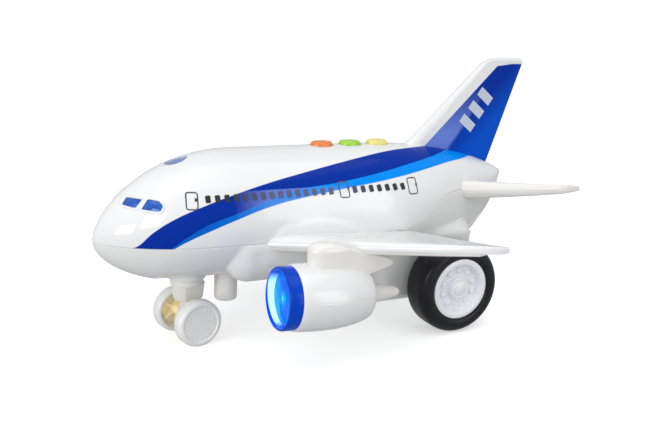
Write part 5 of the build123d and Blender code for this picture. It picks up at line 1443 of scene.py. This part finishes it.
def door_pieces(side):
    pieces = []
    for s, foot, head, wide in DOORS:
        lean = float(np.interp(s, (36.0, 112.0), (0.6, -0.6)))
        outline = rounded_outline(((s, foot), (s + wide, foot - 0.1), (s + wide + lean, head),
                                   (s + lean, head)), 1.2)
        pieces.append(frame_ring("door_line", finer(outline), 0.6, 0.06, 0.15, side, soft=0.1))
        handle = s + wide * 0.78
        middle_z = (foot + head) / 2 + 0.5
        knob = rounded_outline(((handle, middle_z - 0.75), (handle + 1.1, middle_z - 0.75),
                                (handle + 1.3, middle_z + 0.75), (handle + 0.2, middle_z + 0.75)), 0.3)
        pieces.append(plate("door_handle", knob, 0.08, 0.2, side))
    return pieces


for side, name in SIDES:
    finish_piece(crease(join(f"door_lines_{name}", door_pieces(side)), 50.0), door_print)

# %% [markdown]
# ## Roof buttons
#
# Three soft-cornered keys stand 1.8 mm proud of the roof. Each has a rounded rim, a slightly
# dished top and a raised bar to find it by touch. They sink one millimetre on their slides.

# %% Buttons
BUTTON_COLOURS = {"button_front": (0.86, 0.22, 0.035), "button_middle": (0.36, 0.70, 0.03),
                  "button_rear": (0.90, 0.80, 0.22)}


def button_key(node):
    low, high = corners(node)
    x, top = (low[0] + high[0]) / 2, high[2]
    length, width = 11.5, 8.9
    levels = ((0.0, top - 5.0), (0.0, top - 1.3), (0.18, top - 0.75), (0.55, top - 0.35), (1.1, top - 0.1),
              (1.7, top - 0.02), (2.3, top - 0.12), (3.2, top - 0.3), (4.0, top - 0.38))
    rings = [np.column_stack([np.array(stadium(x, length - 2 * inset, width - 2 * inset, 20)),
                              np.full(40, z)]) for inset, z in levels]
    key = tube(f"{node}_key", rings)
    flange = prism("flange", stadium(x, 13.9, 11.3, 16), high[2] - 6.2, high[2] - 5.0)
    bar = tube("bar", [np.column_stack([np.array(stadium(x, 4.6 - 2 * i, 1.5 - 2 * i, 8)), np.full(16, z)])
                       for i, z in ((0.0, top - 0.7), (0.0, top - 0.25), (0.22, top - 0.05),
                                    (0.5, top - 0.02))])
    return join(f"{node}_key", [key, flange, bar])


for node in BUTTON_NODES:
    colour = BUTTON_COLOURS[node]
    plastic = moulded(f"{node}_plastic", colour, rough=0.24, coat=0.3, ripple=0.08, drift=0.08).material
    finish_piece(crease(button_key(node), 45.0), plastic, node, [node])

# %% [markdown]
# ## Nose gear
#
# The leg is a faceted block under a short drum, with a strut down to the axle. It is turned
# ten degrees to the left at rest, so its pieces are modelled square and then turned about the
# swivel. The wheels are open inside, with ribs, a raised ring on the face and a ring of dots.
# One rib and one dot are made, and Geometry Nodes repeat them round the axle.

# %% Nose gear
STEER = math.radians(10.0)
NOSE_R, NOSE_IN, NOSE_WIDE = 11.5, 8.3, 7.1
AXLE = (GEAR_X, NOSE_R)


def steered(obj):
    """Turn a piece about the swivel's upright axis."""
    turn = (Matrix.Translation((GEAR_X * MM, 0, 0)) @ Matrix.Rotation(STEER, 4, "Z")
            @ Matrix.Translation((-GEAR_X * MM, 0, 0)))
    obj.data.transform(turn)
    obj.data.update()
    return obj


def leg_section(length, width, cut_front, cut_rear, z):
    """Section of the leg with its corners cut off."""
    x0, x1, y = GEAR_X - 0.5 - length / 2, GEAR_X - 0.5 + length / 2, width / 2
    pts = ((x1 - cut_front, -y), (x1, -y + cut_front * 0.8), (x1, y - cut_front * 0.8), (x1 - cut_front, y),
           (x0 + cut_rear, y), (x0, y - cut_rear), (x0, -y + cut_rear), (x0 + cut_rear, -y))
    outline = rounded_outline(pts, 0.7, 4)
    return np.column_stack([outline, np.full(len(outline), z)])


leg_block = tube("leg_block", [leg_section(l, w, f, r, z) for l, w, f, r, z in (
    (15.2, 11.2, 3.6, 2.0, 28.6), (15.0, 11.0, 3.6, 2.0, 27.4), (13.6, 9.9, 3.2, 1.8, 21.0),
    (13.0, 9.3, 3.0, 1.7, 20.4),
    (12.0, 8.3, 2.7, 1.5, 20.1))])
strut_foot = tube("leg_strut", [leg_section(l, w, 1.2, 1.2, z) for l, w, z in (
    (7.0, 8.2, 22.0), (6.6, 8.0, 18.0), (6.2, 8.0, 9.2), (5.2, 7.2, 8.3))])
leg_disc = lathe("leg_disc", ((27.9, 0.0), (27.9, 7.5), (28.1, 7.8), (28.6, 7.95), (30.6, 8.0),
                              (30.95, 7.8), (31.0, 0.0)),
                 (GEAR_X, 0.0), axis="z", steps=80)
stem = lathe("leg_stem", ((29.0, 0.0), (29.0, 4.55), (34.1, 4.55), (34.1, 0.0)), (GEAR_X, 0.0), axis="z",
             steps=48)
bosses = [lathe("axle_boss", ((side * 3.6, 0.0), (side * 3.6, 3.2), (side * 4.1, 3.2), (side * 4.3, 2.9),
                              (side * 4.3, 0.0)),
                AXLE, axis="y", steps=40) for side, _ in SIDES]
leg = join("nose_gear_leg", [leg_block, strut_foot, leg_disc, stem, *bosses])
steered(leg)
finish_piece(crease(leg, 28.0), cream_plastic, "nose_gear", ["nose_leg"])

axle_rod = lathe("nose_axle_rod",
                 ((-13.9, 0.0), (-13.9, 1.1), (-13.7, 1.2), (13.7, 1.2), (13.9, 1.1), (13.9, 0.0)), AXLE,
                 axis="y", steps=40)


def brushed_steel(name="drawn_steel"):
    r = Recipe(name)
    grain = r.noise(300.0, 4.0, 0.6, (6.0, 0.4, 6.0))
    r.set(Base_Color=r.mix(grain, (0.46, 0.47, 0.49, 1.0), (0.66, 0.67, 0.69, 1.0)), Metallic=1.0,
          Roughness=r.ramp(grain, 0.3, 0.7, 0.22, 0.40))
    r.bump(grain, 0.1, 0.0002)
    return r.material


steel = brushed_steel()
finish_piece(crease(steered(axle_rod), 40.0), steel, "nose_wheels", ["nose_axle"])


def wheel_plastic():
    """Warm white plastic with painted light in the hollow of the wheel: a yellow tint and a faint glow."""
    r = moulded("nose_wheel_plastic", (0.88, 0.875, 0.86), rough=0.28, coat=0.15)
    inward = r.math("ABSOLUTE", r.axes()[1])
    # painted light: the hollow is tinted yellow and glows faintly, in place of light shining through the
    # thin wall
    hollow_painted_glow = r.math("MULTIPLY", r.ramp(r.from_axle(AXLE), 0.0094, 0.0085), r.ramp(inward, 0.0135, 0.0125))
    r.print_over(hollow_painted_glow, (0.98, 0.86, 0.52, 1.0))
    r.set(Emission_Color=(1.0, 0.80, 0.45, 1.0), Emission_Strength=r.math("MULTIPLY", hollow_painted_glow, 0.13))
    return r.material


nose_plastic = wheel_plastic()


def nose_wheel(side, name):
    """Open cup with a raised ring on its face."""
    def y(depth):
        return side * (NOSE_IN + NOSE_WIDE - depth)
    cup = lathe("rim", ((y(0.55), 0.02), (y(0.5), 5.4), (y(0.62), 8.2), (y(0.55), 8.75), (y(0.1), 9.0),
                        (y(0.0), 9.25), (y(0.02), 9.75), (y(0.3), 10.5), (y(1.0), 11.2), (y(1.9), 11.48),
                        (y(5.2), 11.5), (y(6.3), 11.2), (y(6.9), 10.6), (y(7.1), 10.0), (y(7.0), 9.5),
                        (y(6.6), 9.3), (y(2.2), 9.2), (y(1.6), 8.8), (y(1.6), 0.02)), AXLE, axis="y",
                        steps=112)
    hub = lathe("hub", ((y(1.4), 1.2), (y(1.4), 2.7), (side * 4.9, 2.6), (side * 4.6, 2.3),
                        (side * 4.6, 1.2)), AXLE,
                axis="y", steps=48)
    rib = tube("rib", [[(GEAR_X + dx, y(d), NOSE_R + dz)
                        for dx, dz in ((-0.5, 1.6), (0.5, 1.6), (0.5, 9.3), (-0.5, 9.3))]
                       for d in (1.4, 5.0)])
    run_tree(rib, COPIES, nose_plastic, Count=6, Centre=(GEAR_X * MM, 0.0, NOSE_R * MM))
    dot = lathe("dot", ((y(0.62), 0.0), (y(0.62), 0.55), (y(0.4), 0.5), (y(0.28), 0.3), (y(0.25), 0.0)),
                (GEAR_X, NOSE_R + 6.9), axis="y", steps=16)
    run_tree(dot, COPIES, nose_plastic, Count=18, Centre=(GEAR_X * MM, 0.0, NOSE_R * MM))
    return join(f"nose_wheel_cup_{name}", [cup, hub, rib, dot])


for side, name in SIDES:
    wheel = steered(nose_wheel(side, name))
    finish_piece(crease(wheel, 40.0), nose_plastic, "nose_wheels", [f"nose_wheel_{name}"])

# %% [markdown]
# ## Rear wheels
#
# A wide smooth tyre sits on a white hub with a flat rim ring, a dish, ten round bumps and a
# stepped cap. The rubber is satin black with a fine ring pattern from its mould.

# %% Rear wheels
REAR_X = NOSE_X - REAR_AXLE_S
REAR_R, TYRE_IN, TYRE_OUT = 23.7, 27.4, 44.9
REAR_AXLE = (REAR_X, REAR_R)


def black_rubber():
    r = Recipe("tyre_rubber")
    rings = r.math("SINE", r.math("MULTIPLY", r.from_axle(REAR_AXLE), 9000.0))
    dust = r.noise(260.0, 6.0, 0.65)
    r.set(Base_Color=r.mix(r.ramp(dust, 0.42, 0.75), (0.007, 0.007, 0.009, 1.0),
                           (0.017, 0.017, 0.020, 1.0)),
          Roughness=r.ramp(dust, 0.3, 0.75, 0.28, 0.44), Specular_IOR_Level=0.3)
    r.bump(r.math("ADD", r.math("MULTIPLY", rings, 0.2), r.math("MULTIPLY", r.noise(1800.0), 0.8)), 0.10,
           0.0003)
    return r.material


rubber = black_rubber()
hub_plastic = moulded("rear_hub_plastic", (0.92, 0.915, 0.96), rough=0.24, coat=0.2).material
TYRE = ((-8.75, 16.3), (-8.75, 17.6), (-8.9, 19.0), (-8.7, 20.4), (-7.9, 21.9), (-6.8, 22.9), (-5.6, 23.4),
        (-4.8, 23.55),
        (-3.0, 23.66), (0.0, 23.7), (3.0, 23.66), (4.9, 23.55), (5.9, 23.3), (7.1, 22.6), (8.1, 21.5),
        (8.65, 20.2),
        (8.75, 18.6), (8.6, 17.3), (8.3, 16.6), (7.9, 16.3), (7.9, 15.9), (-8.75, 15.9))


def tyre(side, name):
    centre_y = (TYRE_IN + TYRE_OUT) / 2
    return lathe(f"tyre_{name}", [(side * (centre_y + a), min(r, REAR_R)) for a, r in TYRE], REAR_AXLE,
                 axis="y", steps=160,
                 closed=True)


def rear_hub(side, name):
    def y(depth):
        return side * (TYRE_OUT - 0.5 - depth)
    bowl = lathe("bowl", ((y(3.1), 5.4), (y(3.2), 8.6), (y(3.2), 11.2), (y(3.0), 11.9), (y(2.4), 12.3),
                          (y(0.7), 12.6), (y(0.2), 12.8), (y(0.0), 13.3), (y(0.0), 15.1), (y(0.3), 15.75),
                          (y(1.0), 15.95), (y(16.3), 15.9), (y(16.5), 15.7), (y(16.5), 14.6),
                          (y(16.0), 14.4), (y(6.6), 14.2), (y(6.4), 14.0),
                          (y(6.4), 3.6), (y(18.4), 3.6), (y(18.4), 1.55), (y(4.4), 1.55), (y(3.9), 5.4)),
                          REAR_AXLE, axis="y", steps=144,
                 closed=True)
    cap = lathe("cap", ((y(4.3), 0.0), (y(4.3), 5.9), (y(2.3), 5.75), (y(1.1), 5.6), (y(0.75), 5.3),
                        (y(0.7), 4.6), (y(0.85), 3.9), (y(0.5), 3.6), (y(0.25), 3.3), (y(0.2), 0.0)),
                        REAR_AXLE, axis="y", steps=96)
    bump = lathe("bump", ((y(3.4), 0.0), (y(3.4), 1.65), (y(2.5), 1.5), (y(2.1), 1.3), (y(1.85), 0.9),
                          (y(1.75), 0.0)),
                 (REAR_X, REAR_R + 9.4), axis="y", steps=28)
    run_tree(bump, COPIES, hub_plastic, Count=10, Centre=(REAR_X * MM, 0.0, REAR_R * MM))
    return join(f"hub_{name}", [bowl, cap, bump])


for side, name in SIDES:
    finish_piece(crease(tyre(side, name), 50.0), rubber, "rear_wheels", [f"rear_tyre_{name}"])
    finish_piece(crease(rear_hub(side, name), 40.0), hub_plastic, "rear_wheels",
                 [f"rear_hub_{name}"])

# %% [markdown]
# ## What stays from the frame
#
# The inner works keep their construction meshes: screws, gears, circuit board, battery cells
# and the rest. Each gets a node material by what it is made of.

# %% Finishes for the inner works
gear_nylon = moulded("gear_nylon", (0.70, 0.66, 0.52), rough=0.35, coat=0.0).material
motor_black = moulded("motor_black", (0.02, 0.02, 0.022), rough=0.35, coat=0.0, drift=0.2).material
cell_wrap = moulded("cell_wrap", (0.05, 0.14, 0.10), rough=0.3, coat=0.3, drift=0.15).material
board_green = moulded("board_green", (0.02, 0.16, 0.06), rough=0.3, coat=0.3, drift=0.25).material
dark_plastic = moulded("dark_plastic", (0.025, 0.025, 0.028), rough=0.4, coat=0.0, drift=0.2).material
nickel = brushed_steel("nickel_strip")
INNER = {"steel": ("swivel_washer", "swivel_screw", "shell_screws", "wing_screws", "board_screws",
                   "flywheel_shaft", "flywheel", "rear_axle"),
         "gear": ("axle_gear", "idler_gear"), "motor": ("motor_case_left", "motor_case_right"),
         "cell": ("battery_cells",), "board": ("circuit_board",), "nickel": ("battery_contacts",),
         "dark": ("switches", "loudspeaker"), "box": ("battery_box",), "lamp": ("nose_lamp",)}
FINISH = {"steel": steel, "gear": gear_nylon, "motor": motor_black, "cell": cell_wrap, "board": board_green,
          "nickel": nickel, "dark": dark_plastic, "box": dark_plastic, "lamp": lamp_body}
painted = set()
for kind, nodes in INNER.items():
    for node in nodes:
        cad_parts[node].data.materials.clear()
        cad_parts[node].data.materials.append(FINISH[kind])
        painted.add(node)
shown = {name for name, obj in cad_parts.items() if not obj.hide_render}
print("frame nodes still shown without a finish:", sorted(shown - painted))

# %% [markdown]
# ## Studio
#
# A pale round floor runs up into a wall on all sides, and the surround is bright above and
# dimmer below, as in a light tent on a table. A broad box of light hangs overhead, two smaller
# ones stand in front on the left, one high and one low, and one behind on the left. The floor
# sends no bounce light back, so the undersides keep their soft grey.

# %% Floor and light
def studio_white():
    r = Recipe("studio_floor")
    r.set(Base_Color=r.mix(r.noise(3.0, 4.0), (0.90, 0.90, 0.90, 1.0), (0.93, 0.93, 0.93, 1.0)),
          Roughness=0.9,
          Emission_Color=(1.0, 1.0, 1.0, 1.0), Emission_Strength=0.45, Specular_IOR_Level=0.0)
    return r.material


def sweep_floor():
    """Round floor that curves up into a wall on all sides."""
    bend = [(1.5 + 0.5 * math.sin(turn), 0.5 * (1 - math.cos(turn)))
            for turn in np.linspace(0, math.pi / 2, 12)]
    profile = [(0.001, 0.0), (0.5, 0.0), *bend, (2.0, 2.2)]
    around = np.linspace(0, 2 * math.pi, 72, endpoint=False)
    points = [(r * math.cos(a), r * math.sin(a), h - 0.00005) for r, h in profile for a in around]
    return new_object("studio_floor", np.array(points) / MM, skin_faces(len(profile), 72, closed=True))


floor = sweep_floor()
floor.data.materials.append(studio_white())
floor.visible_diffuse = False
floor.visible_glossy = False
floor.visible_shadow = False


def area_light(name, place, aim, size, power, colour=(1.0, 1.0, 1.0)):
    data = bpy.data.lights.new(name, "AREA")
    data.shape = "RECTANGLE"
    data.size, data.size_y = size
    data.energy = power
    data.color = colour
    lamp = bpy.data.objects.new(name, data)
    bpy.context.scene.collection.objects.link(lamp)
    lamp.location = Vector(place)
    lamp.rotation_euler = (Vector(aim) - Vector(place)).to_track_quat("-Z", "Y").to_euler()
    return lamp


area_light("overhead", (0.05, 0.15, 0.95), (0.0, 0.0, 0.05), (1.1, 0.8), 2.8)
area_light("key_left_front", (0.72, 0.66, 0.34), (0.04, 0.0, 0.06), (0.30, 0.40), 1.35)
area_light("front_low", (0.85, 0.30, 0.16), (0.08, 0.0, 0.04), (0.30, 0.22), 1.9)
area_light("fill_rear_left", (-0.42, 0.82, 0.20), (-0.02, 0.03, 0.05), (0.28, 0.55), 1.15)


def tent_surround():
    """Bright above the horizon and dimmer below it."""
    world = bpy.data.worlds.new("tent_surround")
    bpy.context.scene.world = world
    world.use_nodes = True
    nodes, links = world.node_tree.nodes, world.node_tree.links
    split = nodes.new("ShaderNodeSeparateXYZ")
    links.new(nodes.new("ShaderNodeTexCoord").outputs["Generated"], split.inputs[0])
    level = nodes.new("ShaderNodeMapRange")
    links.new(split.outputs["Z"], level.inputs["Value"])
    for name, value in (("From Min", -0.35), ("From Max", 0.35), ("To Min", 0.43), ("To Max", 0.64)):
        level.inputs[name].default_value = value
    surround = nodes["Background"]
    surround.inputs["Color"].default_value = (0.98, 0.99, 1.0, 1.0)
    links.new(level.outputs["Result"], surround.inputs["Strength"])


tent_surround()

# %% [markdown]
# The camera looks at the left side from a little ahead of the toy and slightly above it.

# %% Camera
AZIMUTH, ELEVATION, ROLL = math.radians(27.15), math.radians(13.9), math.radians(2.33)
TARGET, DISTANCE = Vector((-1.92, 0.0, 53.21)), 417.0
back = Vector((math.sin(AZIMUTH) * math.cos(ELEVATION), math.cos(AZIMUTH) * math.cos(ELEVATION),
               math.sin(ELEVATION)))
right = (-back).cross(Vector((0, 0, 1))).normalized()
up = right.cross(-back)
tilted_right = math.cos(ROLL) * right + math.sin(ROLL) * up
tilted_up = math.cos(ROLL) * up - math.sin(ROLL) * right
camera_data = bpy.data.cameras.new("studio_camera")
camera_data.lens = 43.64
camera_data.sensor_width = 36.0
camera_data.dof.use_dof = False
camera_data.clip_start = 0.01
camera = bpy.data.objects.new("studio_camera", camera_data)
bpy.context.scene.collection.objects.link(camera)
stand = Matrix((tilted_right, tilted_up, back)).transposed().to_4x4()
camera.matrix_world = Matrix.Translation((TARGET + back * DISTANCE) * MM) @ stand
bpy.context.scene.camera = camera
bpy.context.scene.view_settings.view_transform = "Standard"

# %% [markdown]
# The CAD box is printed.

print("cad box:", cad_box)
